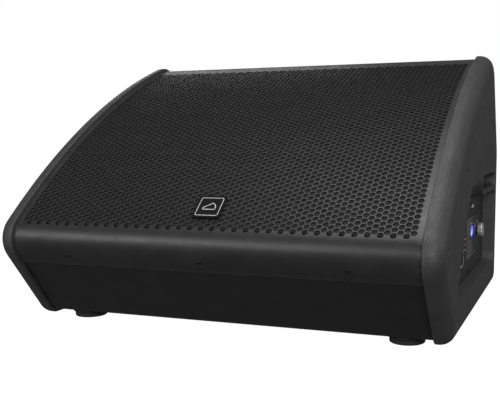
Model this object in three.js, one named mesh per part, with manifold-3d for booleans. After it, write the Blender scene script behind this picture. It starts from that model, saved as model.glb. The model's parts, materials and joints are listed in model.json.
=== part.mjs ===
// Powered coaxial stage monitor wedge, modelled as it would come apart on a bench.
// Millimetres. +Z is up, +X is towards the cheek that carries the amplifier, and the
// sloping grille faces -Y. The origin is on the floor, at the centre of the footprint.
import * as THREE from 'three';
import { mergeVertices } from 'three/addons/utils/BufferGeometryUtils.js';
import Module from 'manifold-3d';

const wasm = await Module();
wasm.setup();

// ---------------------------------------------------------------- driving dimensions
const WIDTH = 612;                    // over the fullest part of both cheeks
const CHEEK_THICKNESS = 27;
const CHEEK_ROUND = 20;               // quarter round along the outer edge of a cheek
const CHEEK_LIP = 5;                  // how far a cheek stands proud of the grille and the box
const GAP = 0.3;                      // clearance between neighbouring pieces
const WALL = 15;                      // plywood of the box
const GRILLE_SHEET = 1.5;
const FOAM_THICKNESS = 6;
const FRONT_INSET = 1.8;              // front panel lies this far under the grille's lip
const BAFFLE_THICKNESS = 18;
const BAFFLE_BELOW_CHORD = 10;        // baffle face below the straight line under the curved grille
const FOOT_HEIGHT = 12;
const FOOT_RADIUS = 26;

// The cheek's outline in the side view: circles that a belt runs round, anticlockwise.
const bottomFront = { y: -169.5, z: 32, r: 25 };
const bottomRear = { y: 227, z: 32, r: 25 };
const waist = { y: 205, z: 222, r: 60 };
const topRear = { y: 171.8, z: 338, r: 45 };
const nose = { y: -225.9, z: 124.8, r: 39.1 };
const crown = { y: 490.1, z: -702.7, r: 1133.3 };   // large arc that the grille follows

// The moulded recess in a cheek.
const PANEL_FACE_X = 286;             // face of the amplifier panel
const PANEL_THICKNESS = 2.5;
const RECESS_FLOOR_X = PANEL_FACE_X - PANEL_THICKNESS - GAP;
const RELIEF_FLOOR_X = 302.5;         // shallow palm relief above the hand hole
const PANEL_LEDGE = 6;                // width of the ledge that the panel is screwed to
const CORNER = 14;                    // radius in the recess corners

const DRIVER_RADIUS = 156;            // twelve-inch class basket
const CUTOUT_RADIUS = 142;
const PORT_RADIUS = 36;
const PORT_LENGTH = 100;
const KNOB_RADIUS = 10.8;
const KNOB_HEIGHT = 8.5;

const ROUND_STEPS = 24;               // sides of the large turned pieces
const SMALL_STEPS = 16;               // sides of the small turned pieces

const OUTER_X = WIDTH / 2;
const INNER_X = OUTER_X - CHEEK_THICKNESS;
const BOX_X = INNER_X - GAP;          // outer face of an end panel
const SPAN_X = BOX_X - WALL - GAP;    // half the length of what spans the end panels

// ---------------------------------------------------------------- materials
function finish(color, roughness, metalness = 0) {
  return new THREE.MeshStandardMaterial({ color, roughness, metalness });
}
const grainedPlastic = finish(0x35363a, 0.62);
const blackPaint = finish(0x17181a, 0.5);
const grillePaint = finish(0x2a2b2e, 0.42, 0.4);
const openFoam = finish(0x0c0c0d, 0.95);
const plainPly = finish(0x9b7a52, 0.7);
const smoothPlastic = finish(0x1d1e20, 0.4);
const glossPlastic = finish(0x0d0e10, 0.15);
const softRubber = finish(0x141414, 0.85);
const castAluminium = finish(0x8d9093, 0.45, 0.9);
const blackSteel = finish(0x202124, 0.45, 0.7);
const brightSteel = finish(0xb4b7ba, 0.35, 0.95);
const ferrite = finish(0x2b2a2c, 0.8);
const paperPulp = finish(0x1b1a19, 0.85);
const treatedCloth = finish(0x3c2d1c, 0.9);
const copper = finish(0xb06a3a, 0.4, 0.9);
const titanium = finish(0x9fa1a6, 0.35, 0.9);
const silverPlastic = finish(0xb9babc, 0.35, 0.3);
const displayGlass = finish(0x1a4fd0, 0.2);
const circuitBoard = finish(0x14532d, 0.5);

// ---------------------------------------------------------------- solids
function toSolid(geometry) {
  const bare = geometry.clone();
  bare.deleteAttribute('normal');
  bare.deleteAttribute('uv');
  const merged = mergeVertices(bare, 1e-4);
  return new wasm.Manifold(new wasm.Mesh({
    numProp: 3,
    vertProperties: Float32Array.from(merged.attributes.position.array),
    triVerts: Uint32Array.from(merged.index.array),
  }));
}

function toGeometry(solid) {
  const mesh = solid.getMesh();
  const geometry = new THREE.BufferGeometry();
  geometry.setAttribute('position', new THREE.BufferAttribute(mesh.vertProperties, 3));
  geometry.setIndex(new THREE.BufferAttribute(mesh.triVerts, 1));
  geometry.computeVertexNormals();
  return geometry;
}

function cut(body, ...tools) {
  const tool = tools.map(toSolid).reduce((sum, next) => sum.add(next));
  return toGeometry(toSolid(body).subtract(tool));
}

function join(body, ...others) {
  return toGeometry(others.reduce((sum, other) => sum.add(toSolid(other)), toSolid(body)));
}

function keep(body, region) {
  return toGeometry(toSolid(body).intersect(toSolid(region)));
}

function box(x0, x1, y0, y1, z0, z1) {
  return new THREE.BoxGeometry(x1 - x0, y1 - y0, z1 - z0)
    .translate((x0 + x1) / 2, (y0 + y1) / 2, (z0 + z1) / 2);
}

function shapeOf(points, holes = []) {
  const shape = new THREE.Shape(points.map(([a, b]) => new THREE.Vector2(a, b)));
  shape.holes = holes.map((hole) => new THREE.Path(hole.map(([a, b]) => new THREE.Vector2(a, b))));
  return shape;
}

// Carries a shape drawn in (y, z) and extruded along +Z over to the side view along +X.
const sideways = new THREE.Matrix4().set(0, 0, 1, 0, 1, 0, 0, 0, 0, 1, 0, 0, 0, 0, 0, 1);

function slab(points, x0, x1, holes = []) {
  const depth = x1 - x0;
  return new THREE.ExtrudeGeometry(shapeOf(points, holes), { depth, bevelEnabled: false })
    .applyMatrix4(sideways)
    .translate(x0, 0, 0);
}

function plate(points, z0, z1, holes = []) {
  const depth = z1 - z0;
  return new THREE.ExtrudeGeometry(shapeOf(points, holes), { depth, bevelEnabled: false })
    .translate(0, 0, z0);
}

// A turned piece about Z, from [radius, height] points.
function turned(profile, steps = ROUND_STEPS) {
  const points = profile.map(([radius, height]) => new THREE.Vector2(radius, height));
  const geometry = new THREE.LatheGeometry(points, steps).rotateX(Math.PI / 2);
  return toGeometry(outwards(toSolid(geometry), geometry));
}

// A lathe profile may run either way round, so the solid is turned right side out.
function outwards(solid, geometry) {
  if (solid.volume() > 0) return solid;
  const flipped = geometry.clone();
  const order = Array.from(flipped.index.array);
  for (let i = 0; i < order.length; i += 3) {
    [order[i + 1], order[i + 2]] = [order[i + 2], order[i + 1]];
  }
  flipped.setIndex(order);
  return toSolid(flipped);
}

// A flat ring between two radii.
function ring(inner, outer, low, high, steps = ROUND_STEPS) {
  return turned([[inner, low], [outer, low], [outer, high], [inner, high], [inner, low]], steps);
}

function disc(radius, low, high, steps = SMALL_STEPS) {
  return new THREE.CylinderGeometry(radius, radius, high - low, steps)
    .rotateX(Math.PI / 2)
    .translate(0, 0, (low + high) / 2);
}

// A piece extruded along Y from an outline in (x, z).
function crosswise(points, y0, y1) {
  return new THREE.ExtrudeGeometry(shapeOf(points), { depth: y1 - y0, bevelEnabled: false })
    .rotateX(Math.PI / 2)
    .translate(0, y1, 0);
}

// Turns a piece made about Z to lie along X.
function alongX(geometry) {
  return geometry.rotateY(Math.PI / 2);
}

// ---------------------------------------------------------------- side-view outlines
function onCircle(circle, angle, grow = 0) {
  return [
    circle.y + (circle.r + grow) * Math.cos(angle),
    circle.z + (circle.r + grow) * Math.sin(angle),
  ];
}

function arc(circle, from, to, steps, grow = 0) {
  const points = [];
  for (let i = 0; i <= steps; i += 1) {
    points.push(onCircle(circle, from + ((to - from) * i) / steps, grow));
  }
  return points;
}

// Outward direction of the straight edge that a belt makes from circle a to circle b.
function edgeAngle(a, b) {
  const run = Math.hypot(b.y - a.y, b.z - a.z);
  return Math.atan2(b.z - a.z, b.y - a.y) - Math.acos((a.r - b.r) / run);
}

// The same direction as angle, less than one turn on from previous.
function afterAngle(angle, previous) {
  const fullTurn = 2 * Math.PI;
  return previous + ((((angle - previous) % fullTurn) + fullTurn) % fullTurn);
}

// A rounded convex outline: an anticlockwise belt round circles in the side view.
function belt(circles, grow = 0, steps = 4) {
  return circles.flatMap((circle, i) => {
    const before = circles[(i + circles.length - 1) % circles.length];
    const after = circles[(i + 1) % circles.length];
    const from = edgeAngle(before, circle);
    return arc(circle, from, afterAngle(edgeAngle(circle, after), from), steps, grow);
  });
}

const facing = {
  bottom: edgeAngle(bottomFront, bottomRear),
  rearLower: edgeAngle(bottomRear, waist),
  rearUpper: edgeAngle(waist, topRear),
  crownTop: Math.atan2(topRear.z - crown.z, topRear.y - crown.y),
  crownNose: Math.atan2(nose.z - crown.z, nose.y - crown.y),
  undercut: edgeAngle(nose, bottomFront) + 2 * Math.PI,
};
facing.corner = facing.undercut - 2 * Math.PI;
facing.waist = (facing.rearLower + facing.rearUpper) / 2;

function cheekOutline() {
  return [
    ...arc(bottomFront, facing.corner, facing.bottom, 3),
    ...arc(bottomRear, facing.bottom, facing.rearLower, 5),
    ...arc(waist, facing.rearLower, facing.rearUpper, 3),
    ...arc(topRear, facing.rearUpper, facing.crownTop, 5),
    ...arc(crown, facing.crownTop, facing.crownNose, 12).slice(1, -1),
    ...arc(nose, facing.crownNose, facing.undercut, 7),
  ];
}

// A stretch of wall between an outer and an inner copy of the same stations.
function wallStretch(stations, outerGrow, innerGrow) {
  const outer = stations.map(([circle, angle]) => onCircle(circle, angle, outerGrow));
  const inner = stations.map(([circle, angle]) => onCircle(circle, angle, innerGrow));
  return [...outer, ...inner.reverse()];
}

function stations(circle, from, to, steps) {
  const list = [];
  for (let i = 0; i <= steps; i += 1) list.push([circle, from + ((to - from) * i) / steps]);
  return list;
}

const outside = -CHEEK_LIP;                      // the box and the grille, inside the cheek's edge
const inside = outside - WALL;
const underGrille = outside - FRONT_INSET;

// Angle on a circle that leaves half the gap to the neighbouring piece.
function seam(circle) {
  return GAP / 2 / (circle.r + inside);
}

// ---------------------------------------------------------------- assembly
const monitor = new THREE.Group();

function part(name, geometry, material, parent = monitor) {
  const mesh = new THREE.Mesh(geometry, material);
  mesh.name = name;
  parent.add(mesh);
  return mesh;
}

// ---- plywood box
part('bottom_panel', slab(wallStretch([
  ...stations(bottomFront, facing.corner + seam(bottomFront), facing.bottom, 2),
  ...stations(bottomRear, facing.bottom, facing.rearLower - seam(bottomRear), 4),
], outside, inside), -SPAN_X, SPAN_X), blackPaint);

part('rear_lower_panel', slab(wallStretch([
  [bottomRear, facing.rearLower + seam(bottomRear)],
  [waist, facing.rearLower],
  [waist, facing.waist - seam(waist)],
], outside, inside), -SPAN_X, SPAN_X), blackPaint);

part('rear_upper_panel', slab(wallStretch([
  [waist, facing.waist + seam(waist)],
  [waist, facing.rearUpper],
  [topRear, facing.rearUpper - seam(topRear)],
], outside, inside), -SPAN_X, SPAN_X), blackPaint);

const RAIL_INNER = 14;                           // the top rail is a solid rounded batten
part('top_rail', slab([
  ...arc(topRear, facing.rearUpper + seam(topRear), facing.crownTop, 5, outside),
  onCircle({ ...topRear, r: RAIL_INNER }, facing.crownTop),
  onCircle({ ...topRear, r: topRear.r + inside }, facing.rearUpper + seam(topRear)),
], -SPAN_X, SPAN_X), blackPaint);

const FRONT_TOP_TURN = 0.42;                     // how far the front panel follows the nose round
part('front_panel', slab(wallStretch([
  ...stations(nose, facing.undercut - FRONT_TOP_TURN, facing.undercut, 2),
  [bottomFront, facing.undercut - seam(bottomFront)],
], underGrille, inside), -SPAN_X, SPAN_X), blackPaint);

// End panels lie inside the cheeks and carry the whole box between them.
const CROWN_CLEARANCE = FOAM_THICKNESS + GRILLE_SHEET + 2 * GAP + 1;
function endPanelOutline() {
  return [
    ...arc(bottomFront, facing.corner, facing.bottom, 2, outside),
    ...arc(bottomRear, facing.bottom, facing.rearLower, 4, outside),
    ...arc(waist, facing.rearLower, facing.rearUpper, 2, outside),
    ...arc(topRear, facing.rearUpper, facing.crownTop, 4, outside),
    ...arc(crown, facing.crownTop, facing.crownNose, 10, outside - CROWN_CLEARANCE),
    ...arc(nose, facing.crownNose, facing.undercut, 4, underGrille - GAP),
  ];
}

// The hand hole, and the recess and palm relief moulded round it.
const handHole = [
  { y: 88, z: 188, r: 10 },
  { y: 202, z: 188, r: 10 },
];
const recess = [
  { y: -117.2, z: 67, r: CORNER },
  { y: 203, z: 67, r: CORNER },
  { y: 203, z: 155, r: CORNER },
  { y: -47.2, z: 155, r: CORNER },
];
// Palm relief under the arched crease; its lower edge depends on what lies below it.
function reliefDownTo(front, bottom) {
  return [
    { y: front, z: bottom, r: CORNER },
    { y: 205, z: bottom, r: CORNER },
    { y: 205, z: 226, r: CORNER },
    { y: 93, z: 207, r: 30 },
    { y: -8, z: 203, r: CORNER },
  ];
}
const rightRelief = reliefDownTo(-45, 140);
const leftRelief = reliefDownTo(-28, 170);
const gripRecess = [
  { y: 72, z: 118, r: CORNER },
  { y: 203, z: 118, r: CORNER },
  { y: 203, z: 166, r: CORNER },
  { y: 86, z: 166, r: CORNER },
];
const cup = { x0: 212, x1: BOX_X - GAP, y0: 73, y1: 217, z0: 160, z1: 238, wall: 3 };
const chassis = { x0: 198, x1: BOX_X - GAP, y0: -98, y1: 166, z0: 72, z1: 148, wall: 2 };
const pole = { y: -5, z: 112, r: 18, collar: 32, depth: 82, wall: 3 };

function endPanel(side) {
  const clear = GAP + 0.2;
  const holes = [
    box(SPAN_X - 2, BOX_X + 2, cup.y0 - clear, cup.y1 + clear, cup.z0 - clear, cup.z1 + clear),
  ];
  if (side > 0) {
    holes.push(box(SPAN_X - 2, BOX_X + 2, chassis.y0 - clear, chassis.y1 + clear,
      chassis.z0 - clear, chassis.z1 + clear));
  } else {
    holes.push(alongX(disc(pole.r + pole.wall + clear, SPAN_X - 2, BOX_X + 2, 20))
      .translate(0, pole.y, pole.z));
  }
  const board = cut(slab(endPanelOutline(), SPAN_X + GAP, BOX_X), ...holes);
  return side > 0 ? board : mirrored(board);
}

// Mirrors a piece across the middle plane and keeps its faces pointing out.
function mirrored(geometry) {
  return toGeometry(toSolid(geometry).mirror([1, 0, 0]));
}

part('right_end_panel', endPanel(1), blackPaint);
part('left_end_panel', endPanel(-1), blackPaint);

// ---- moulded cheeks
const HIDDEN_BEVEL = 1;                          // the rounded slab's inner half is cut away
function cheekBlank() {
  const rounded = new THREE.ExtrudeGeometry(shapeOf(cheekOutline()), {
    depth: HIDDEN_BEVEL,
    bevelThickness: CHEEK_ROUND,
    bevelSize: CHEEK_ROUND,
    bevelOffset: -CHEEK_ROUND,
    bevelSegments: 3,
  }).applyMatrix4(sideways).translate(OUTER_X - CHEEK_ROUND - HIDDEN_BEVEL, 0, 0);
  return keep(rounded, box(INNER_X, OUTER_X + 1, -WIDTH, WIDTH, -1, WIDTH));
}

const PAST = 2;                                  // least that a cutting tool runs past a face
const rightCheek = cut(
  cheekBlank(),
  slab(belt(rightRelief), RELIEF_FLOOR_X, OUTER_X + PAST),
  slab(belt(recess), RECESS_FLOOR_X, OUTER_X + 2 * PAST),
  slab(belt(handHole, 0, 6), INNER_X - PAST, OUTER_X + 3 * PAST),
  slab(belt(recess, -PANEL_LEDGE), INNER_X - 2 * PAST, RECESS_FLOOR_X + 0.1),
);
part('right_cheek', rightCheek, grainedPlastic);

const GRIP_FLOOR_X = 290;
const leftCheek = mirrored(cut(
  cheekBlank(),
  slab(belt(leftRelief), RELIEF_FLOOR_X, OUTER_X + PAST),
  slab(belt(gripRecess), GRIP_FLOOR_X, OUTER_X + 2 * PAST),
  slab(belt(handHole, 0, 6), INNER_X - PAST, OUTER_X + 3 * PAST),
  alongX(disc(pole.collar + GAP, INNER_X - PAST, OUTER_X + PAST, 24)).translate(0, pole.y, pole.z),
));
part('left_cheek', leftCheek, grainedPlastic);

// ---- hand cups, open towards the cheek
function handCup() {
  const { x0, x1, y0, y1, z0, z1, wall } = cup;
  return cut(
    box(x0, x1, y0, y1, z0, z1),
    box(x0 + wall, x1 + PAST, y0 + wall, y1 - wall, z0 + wall, z1 - wall),
  );
}
part('right_hand_cup', handCup(), smoothPlastic);
part('left_hand_cup', mirrored(handCup()), smoothPlastic);

// ---- pole cup: a collar in the left cheek and a blind tube behind it
const POLE_COLLAR = 3;
const poleCup = alongX(turned([
  [0, 0],
  [pole.r + pole.wall, 0],
  [pole.r + pole.wall, pole.depth],
  [pole.collar, pole.depth],
  [pole.collar, pole.depth + CHEEK_THICKNESS - POLE_COLLAR],
  [pole.r, pole.depth + CHEEK_THICKNESS - POLE_COLLAR],
  [pole.r, pole.wall],
  [0, pole.wall],
], 24)).translate(INNER_X - pole.depth + GAP, pole.y, pole.z);
part('pole_cup', mirrored(poleCup), smoothPlastic);

// ---- grille, foam and badge
const grilleOuter = outside;
const grilleInner = outside - GRILLE_SHEET;
const lipRun = 13.7;                             // straight part of the lip below the nose
const flangeDepth = 8;
const crownEnd = facing.crownTop + 1.2 / crown.r;

function alongUndercut([y, z], run) {
  const direction = facing.undercut + Math.PI / 2;
  return [y + run * Math.cos(direction), z + run * Math.sin(direction)];
}

function grilleOutline() {
  const front = crownEnd + GRILLE_SHEET / crown.r;
  return [
    onCircle(crown, crownEnd, grilleOuter - flangeDepth),
    onCircle(crown, crownEnd, grilleOuter),
    ...arc(crown, crownEnd, facing.crownNose, 14, grilleOuter).slice(1, -1),
    ...arc(nose, facing.crownNose, facing.undercut, 7, grilleOuter),
    alongUndercut(onCircle(nose, facing.undercut, grilleOuter), lipRun),
    alongUndercut(onCircle(nose, facing.undercut, grilleInner), lipRun),
    ...arc(nose, facing.undercut, facing.crownNose, 7, grilleInner),
    ...arc(crown, facing.crownNose, front, 14, grilleInner).slice(1),
    onCircle(crown, front, grilleOuter - flangeDepth),
  ];
}
part('grille', slab(grilleOutline(), -BOX_X + GAP, BOX_X - GAP), grillePaint);

const foamOuter = grilleInner - GAP;
const foamInner = foamOuter - FOAM_THICKNESS;
const foamTop = crownEnd + 6 / crown.r;
part('grille_foam', slab([
  ...arc(crown, foamTop, facing.crownNose, 12, foamOuter),
  ...arc(crown, facing.crownNose, foamTop, 12, foamInner),
], -BOX_X + 4, BOX_X - 4), openFoam);

const BADGE_SIZE = 39;
const BADGE_THICKNESS = 2.2;
const badgeAngle = Math.atan2(172 - crown.z, -221 - crown.y);
const badgeSeat = new THREE.Group();
const [badgeY, badgeZ] = onCircle(crown, badgeAngle, grilleOuter + GAP);
badgeSeat.position.set(0, badgeY, badgeZ);
badgeSeat.rotation.x = badgeAngle - Math.PI / 2;
monitor.add(badgeSeat);
const badgeCorners = [[-1, -1], [1, -1], [1, 1], [-1, 1]].map(([a, b]) => (
  { y: a * (BADGE_SIZE / 2 - 2), z: b * (BADGE_SIZE / 2 - 2), r: 2 }
));
part('badge', plate(belt(badgeCorners, 0, 2), 0, BADGE_THICKNESS), glossPlastic, badgeSeat);

// Countersunk screws through the lip of the grille, just above its lower edge.
const screwSeatAngle = facing.undercut - 0.16;
for (const [name, x] of [['left', -193], ['middle', 0], ['right', 193]]) {
  const seat = new THREE.Group();
  const [y, z] = onCircle(nose, screwSeatAngle, grilleOuter + GAP);
  seat.position.set(x, y, z);
  seat.rotation.x = screwSeatAngle - Math.PI / 2;
  monitor.add(seat);
  part(`grille_screw_${name}`, disc(3.2, 0, 1.4, 10), blackSteel, seat);
}

// ---------------------------------------------------------------- baffle group
// Inside this group x is the width, y runs up the slope and z stands out of the baffle.
const chordLow = onCircle(crown, facing.crownNose, outside);
const chordHigh = onCircle(crown, facing.crownTop, outside);
const slope = Math.atan2(chordHigh[1] - chordLow[1], chordHigh[0] - chordLow[0]);
const DRIVER_SHIFT = 10;                         // driver centre above the middle of the chord
const baffleGroup = new THREE.Group();
const baffleOrigin = [
  (chordLow[0] + chordHigh[0]) / 2 + BAFFLE_BELOW_CHORD * Math.sin(slope) + DRIVER_SHIFT * Math.cos(slope),
  (chordLow[1] + chordHigh[1]) / 2 - BAFFLE_BELOW_CHORD * Math.cos(slope) + DRIVER_SHIFT * Math.sin(slope),
];
baffleGroup.position.set(0, baffleOrigin[0], baffleOrigin[1]);
baffleGroup.rotation.x = slope;
monitor.add(baffleGroup);

function upSlope(circle) {
  return (circle.y - baffleOrigin[0]) * Math.cos(slope) + (circle.z - baffleOrigin[1]) * Math.sin(slope);
}
const baffleLow = upSlope(nose) - 8;
const baffleHigh = upSlope(topRear) + 2.4;

function circlePoints(radius, steps, x = 0, y = 0) {
  const points = [];
  for (let i = 0; i < steps; i += 1) {
    const angle = (2 * Math.PI * i) / steps;
    points.push([x + radius * Math.cos(angle), y + radius * Math.sin(angle)]);
  }
  return points;
}

const portX = 205;
const portY = baffleLow + 58;
const baffleEdge = SPAN_X;
part('baffle', plate(
  [[-baffleEdge, baffleLow], [baffleEdge, baffleLow], [baffleEdge, baffleHigh], [-baffleEdge, baffleHigh]],
  -BAFFLE_THICKNESS,
  0,
  [
    circlePoints(CUTOUT_RADIUS + 1, ROUND_STEPS),
    circlePoints(PORT_RADIUS + 3.5, 20, portX, portY),
    circlePoints(PORT_RADIUS + 3.5, 20, -portX, portY),
  ],
), plainPly, baffleGroup);

// A glue block closes the corner between the baffle's lower end and the front panel.
part('nose_block', plate(
  [[-baffleEdge, baffleLow - 8], [baffleEdge, baffleLow - 8], [baffleEdge, baffleLow - GAP],
    [-baffleEdge, baffleLow - GAP]],
  -BAFFLE_THICKNESS - 12,
  -3,
), plainPly, baffleGroup);

// Flared bass ports, turned, with a flange on the baffle.
for (const [name, x] of [['left_port', -portX], ['right_port', portX]]) {
  const port = part(name, turned([
    [PORT_RADIUS + 10, GAP],
    [PORT_RADIUS + 10, 3],
    [PORT_RADIUS + 6, 3],
    [PORT_RADIUS, -8],
    [PORT_RADIUS, -PORT_LENGTH],
    [PORT_RADIUS + 3, -PORT_LENGTH],
    [PORT_RADIUS + 3, GAP],
    [PORT_RADIUS + 10, GAP],
  ], 20), smoothPlastic, baffleGroup);
  port.position.set(x, portY, 0);
}

// ---------------------------------------------------------------- coaxial driver
const COIL_RADIUS = 37.5;
const SPOKES = 6;

function basket() {
  const bowl = turned([
    [CUTOUT_RADIUS - 4, GAP],
    [DRIVER_RADIUS, GAP],
    [DRIVER_RADIUS, 5],
    [CUTOUT_RADIUS - 7, 5],
    [78, -72],
    [78, -82],
    [48, -82],
    [48, -86],
    [84, -86],
    [84, -72],
    [CUTOUT_RADIUS - 4, GAP],
  ]);
  const windows = [];
  for (let i = 0; i < SPOKES; i += 1) {
    const opening = box(92, CUTOUT_RADIUS, -34, 34, -64, -12);
    windows.push(opening.rotateZ((2 * Math.PI * (i + 0.5)) / SPOKES));
  }
  return cut(bowl, ...windows);
}
part('driver_basket', basket(), castAluminium, baffleGroup);
part('driver_gasket', ring(143, DRIVER_RADIUS - 1, 5 + GAP, 8), softRubber, baffleGroup);

// Half-roll surround between the cone and the basket rim.
const rollCentre = { r: 131.5, h: 6.2, radius: 7 };
function rollProfile(radius) {
  return [0, 1, 2, 3, 4].map((i) => {
    const angle = Math.PI - (Math.PI * i) / 4;
    return [rollCentre.r + radius * Math.cos(angle), rollCentre.h + radius * Math.sin(angle)];
  });
}
part('cone_surround', turned([
  [rollCentre.r - rollCentre.radius - 2, rollCentre.h],
  ...rollProfile(rollCentre.radius),
  [141.5, rollCentre.h],
  [141.5, rollCentre.h - 0.8],
  [rollCentre.r + rollCentre.radius - 1, rollCentre.h - 0.8],
  ...rollProfile(rollCentre.radius - 1).reverse(),
  [rollCentre.r - rollCentre.radius - 2, rollCentre.h - 0.8],
  [rollCentre.r - rollCentre.radius - 2, rollCentre.h],
]), softRubber, baffleGroup);

const coneOuter = 122;
part('cone', turned([
  [COIL_RADIUS + 0.8, -50],
  [COIL_RADIUS + 2.6, -50],
  [82, -20],
  [coneOuter, 5],
  [coneOuter, 6.5],
  [82, -18.4],
  [COIL_RADIUS + 0.8, -48],
  [COIL_RADIUS + 0.8, -50],
]), paperPulp, baffleGroup);

part('voice_coil', turned([
  [COIL_RADIUS - 0.3, -99],
  [COIL_RADIUS + 0.9, -99],
  [COIL_RADIUS + 0.9, -86],
  [COIL_RADIUS + 0.4, -86],
  [COIL_RADIUS + 0.4, -46],
  [COIL_RADIUS - 0.3, -46],
  [COIL_RADIUS - 0.3, -99],
]), copper, baffleGroup);

// Corrugated spider below the cone.
const SPIDER_RADIUS = 77;
const spiderRings = 3;
function spiderProfile(height) {
  const inner = COIL_RADIUS + 1;
  const pitch = (SPIDER_RADIUS - inner) / (2 * spiderRings);
  const points = [];
  for (let i = 0; i <= 2 * spiderRings; i += 1) {
    points.push([inner + pitch * i, -66 + height + (i % 2 ? 2.4 : 0)]);
  }
  return points;
}
part('spider', turned([
  ...spiderProfile(0),
  ...spiderProfile(0.8).reverse(),
  spiderProfile(0)[0],
]), treatedCloth, baffleGroup);

const PLATE_LOW = -97;
part('top_plate', ring(COIL_RADIUS + 2, 86, PLATE_LOW, -89), blackSteel, baffleGroup);
part('ferrite_magnet', ring(46, 92, PLATE_LOW - GAP - 22, PLATE_LOW - GAP), ferrite, baffleGroup);

const YOKE_TOP = PLATE_LOW - 2 * GAP - 22;
const THROAT = 12.7;
part('back_plate_and_pole', turned([
  [THROAT, YOKE_TOP - 9],
  [86, YOKE_TOP - 9],
  [86, YOKE_TOP],
  [COIL_RADIUS - 1.5, YOKE_TOP],
  [COIL_RADIUS - 1.5, -89],
  [THROAT, -89],
  [THROAT, YOKE_TOP - 9],
]), blackSteel, baffleGroup);

part('hf_horn', turned([
  [THROAT, -88.7],
  [COIL_RADIUS - 2.5, -88.7],
  [COIL_RADIUS - 2.5, -42],
  [COIL_RADIUS - 4.5, -42],
  [THROAT + 5, -70],
  [THROAT, -88.7],
]), smoothPlastic, baffleGroup);

// Compression driver on the back of the magnet: body, dome diaphragm and cap.
const HF_TOP = YOKE_TOP - 9 - GAP;
part('hf_motor', turned([
  [THROAT, HF_TOP],
  [42, HF_TOP],
  [42, HF_TOP - 30],
  [24, HF_TOP - 30],
  [24, HF_TOP - 22],
  [THROAT, HF_TOP - 18],
  [THROAT, HF_TOP],
]), blackSteel, baffleGroup);

const domeRadius = 22;
function domeProfile(radius, height) {
  return [0, 1, 2, 3].map((i) => {
    const angle = (i * Math.PI) / 9;
    return [radius * Math.sin(angle), height + radius * (Math.cos(angle) - 1)];
  });
}
const domeTop = HF_TOP - 23;
part('hf_diaphragm', turned([
  ...domeProfile(domeRadius, domeTop),
  ...domeProfile(domeRadius, domeTop - 0.8).reverse(),
]), titanium, baffleGroup);

part('hf_rear_cap', turned([
  [0, HF_TOP - 44],
  [40, HF_TOP - 44],
  [42, HF_TOP - 41],
  [42, HF_TOP - 30 - GAP],
  [26, HF_TOP - 30 - GAP],
  [24, HF_TOP - 40],
  [0, HF_TOP - 40],
]), castAluminium, baffleGroup);

// ---------------------------------------------------------------- amplifier module
// Front-to-rear places of what is on the panel, in the side view.
const mains = { y: -77, z: 92, halfY: 13.5, halfZ: 16 };
const rocker = { y: -46, z: 88, halfY: 6.5, halfZ: 10 };
const xlrIn = { y: -10, z: 92, r: 11 };
const xlrLink = { y: -10, z: 132, r: 11 };
const network = { y: -42, z: 132, halfY: 9, halfZ: 14 };
const subPanel = { y0: 30, y1: 168, z0: 78, z1: 139 };
const display = { y: 85, z: 115, halfY: 16.5, halfZ: 8.75 };
const encoder = { y: 144, z: 111, shaft: 3 };

function panelBox({ y, z, halfY, halfZ }, x0, x1, grow = 0) {
  return box(x0, x1, y - halfY - grow, y + halfY + grow, z - halfZ - grow, z + halfZ + grow);
}
function panelDisc({ y, z, r }, x0, x1, grow = 0) {
  return alongX(disc(r + grow, x0, x1, 20)).translate(0, y, z);
}
const FACE = PANEL_FACE_X;
const BACK = FACE - PANEL_THICKNESS;

part('amp_panel', cut(
  slab(belt(recess, -1.5), BACK, FACE),
  panelBox(mains, BACK - PAST, FACE + PAST, GAP),
  panelBox(rocker, BACK - PAST, FACE + PAST, GAP),
  panelDisc(xlrIn, BACK - PAST, FACE + PAST, GAP),
  panelDisc(xlrLink, BACK - PAST, FACE + PAST, GAP),
  panelBox(network, BACK - PAST, FACE + PAST, GAP),
  box(BACK - PAST, FACE + PAST, subPanel.y0, subPanel.y1, subPanel.z0, subPanel.z1),
), smoothPlastic);

// Glossy insert with the display window and the encoder's hole.
const insertCorners = [
  { y: subPanel.y0 + 3, z: subPanel.z0 + 3, r: 2.5 },
  { y: subPanel.y1 - 3, z: subPanel.z0 + 3, r: 2.5 },
  { y: subPanel.y1 - 3, z: subPanel.z1 - 3, r: 2.5 },
  { y: subPanel.y0 + 3, z: subPanel.z1 - 3, r: 2.5 },
];
part('control_insert', cut(
  slab(belt(insertCorners, 0, 2), BACK, FACE + 0.4),
  panelBox(display, BACK - PAST, FACE + PAST, GAP),
  panelDisc({ ...encoder, r: encoder.shaft }, BACK - PAST, FACE + PAST, 0.6),
), glossPlastic);
part('display', panelBox(display, BACK - 1.5, FACE), displayGlass);

// Encoder: fixed body, plunger that is pressed in, and the knob on its shaft.
const ENCODER_TRAVEL = 0.8;
part('encoder_body', cut(
  panelBox({ ...encoder, halfY: 6.5, halfZ: 6.5 }, BACK - 9, BACK - GAP),
  panelDisc({ ...encoder, r: encoder.shaft }, BACK - 6, BACK + PAST, 0.6),
), smoothPlastic);
part('encoder_plunger', panelDisc({ ...encoder, r: 2.4 }, BACK - 5, BACK - 3.6), silverPlastic);
const knobBack = FACE + 0.4 + GAP + ENCODER_TRAVEL;
const knobShape = alongX(turned([
  [0, BACK - 3.6 + GAP],
  [encoder.shaft - 0.2, BACK - 3.6 + GAP],
  [encoder.shaft - 0.2, knobBack],
  [KNOB_RADIUS, knobBack],
  [KNOB_RADIUS, knobBack + KNOB_HEIGHT - 1.2],
  [KNOB_RADIUS - 1.2, knobBack + KNOB_HEIGHT],
  [0, knobBack + KNOB_HEIGHT],
], 24)).translate(0, encoder.y, encoder.z);
part('encoder_knob', knobShape, silverPlastic);

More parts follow.
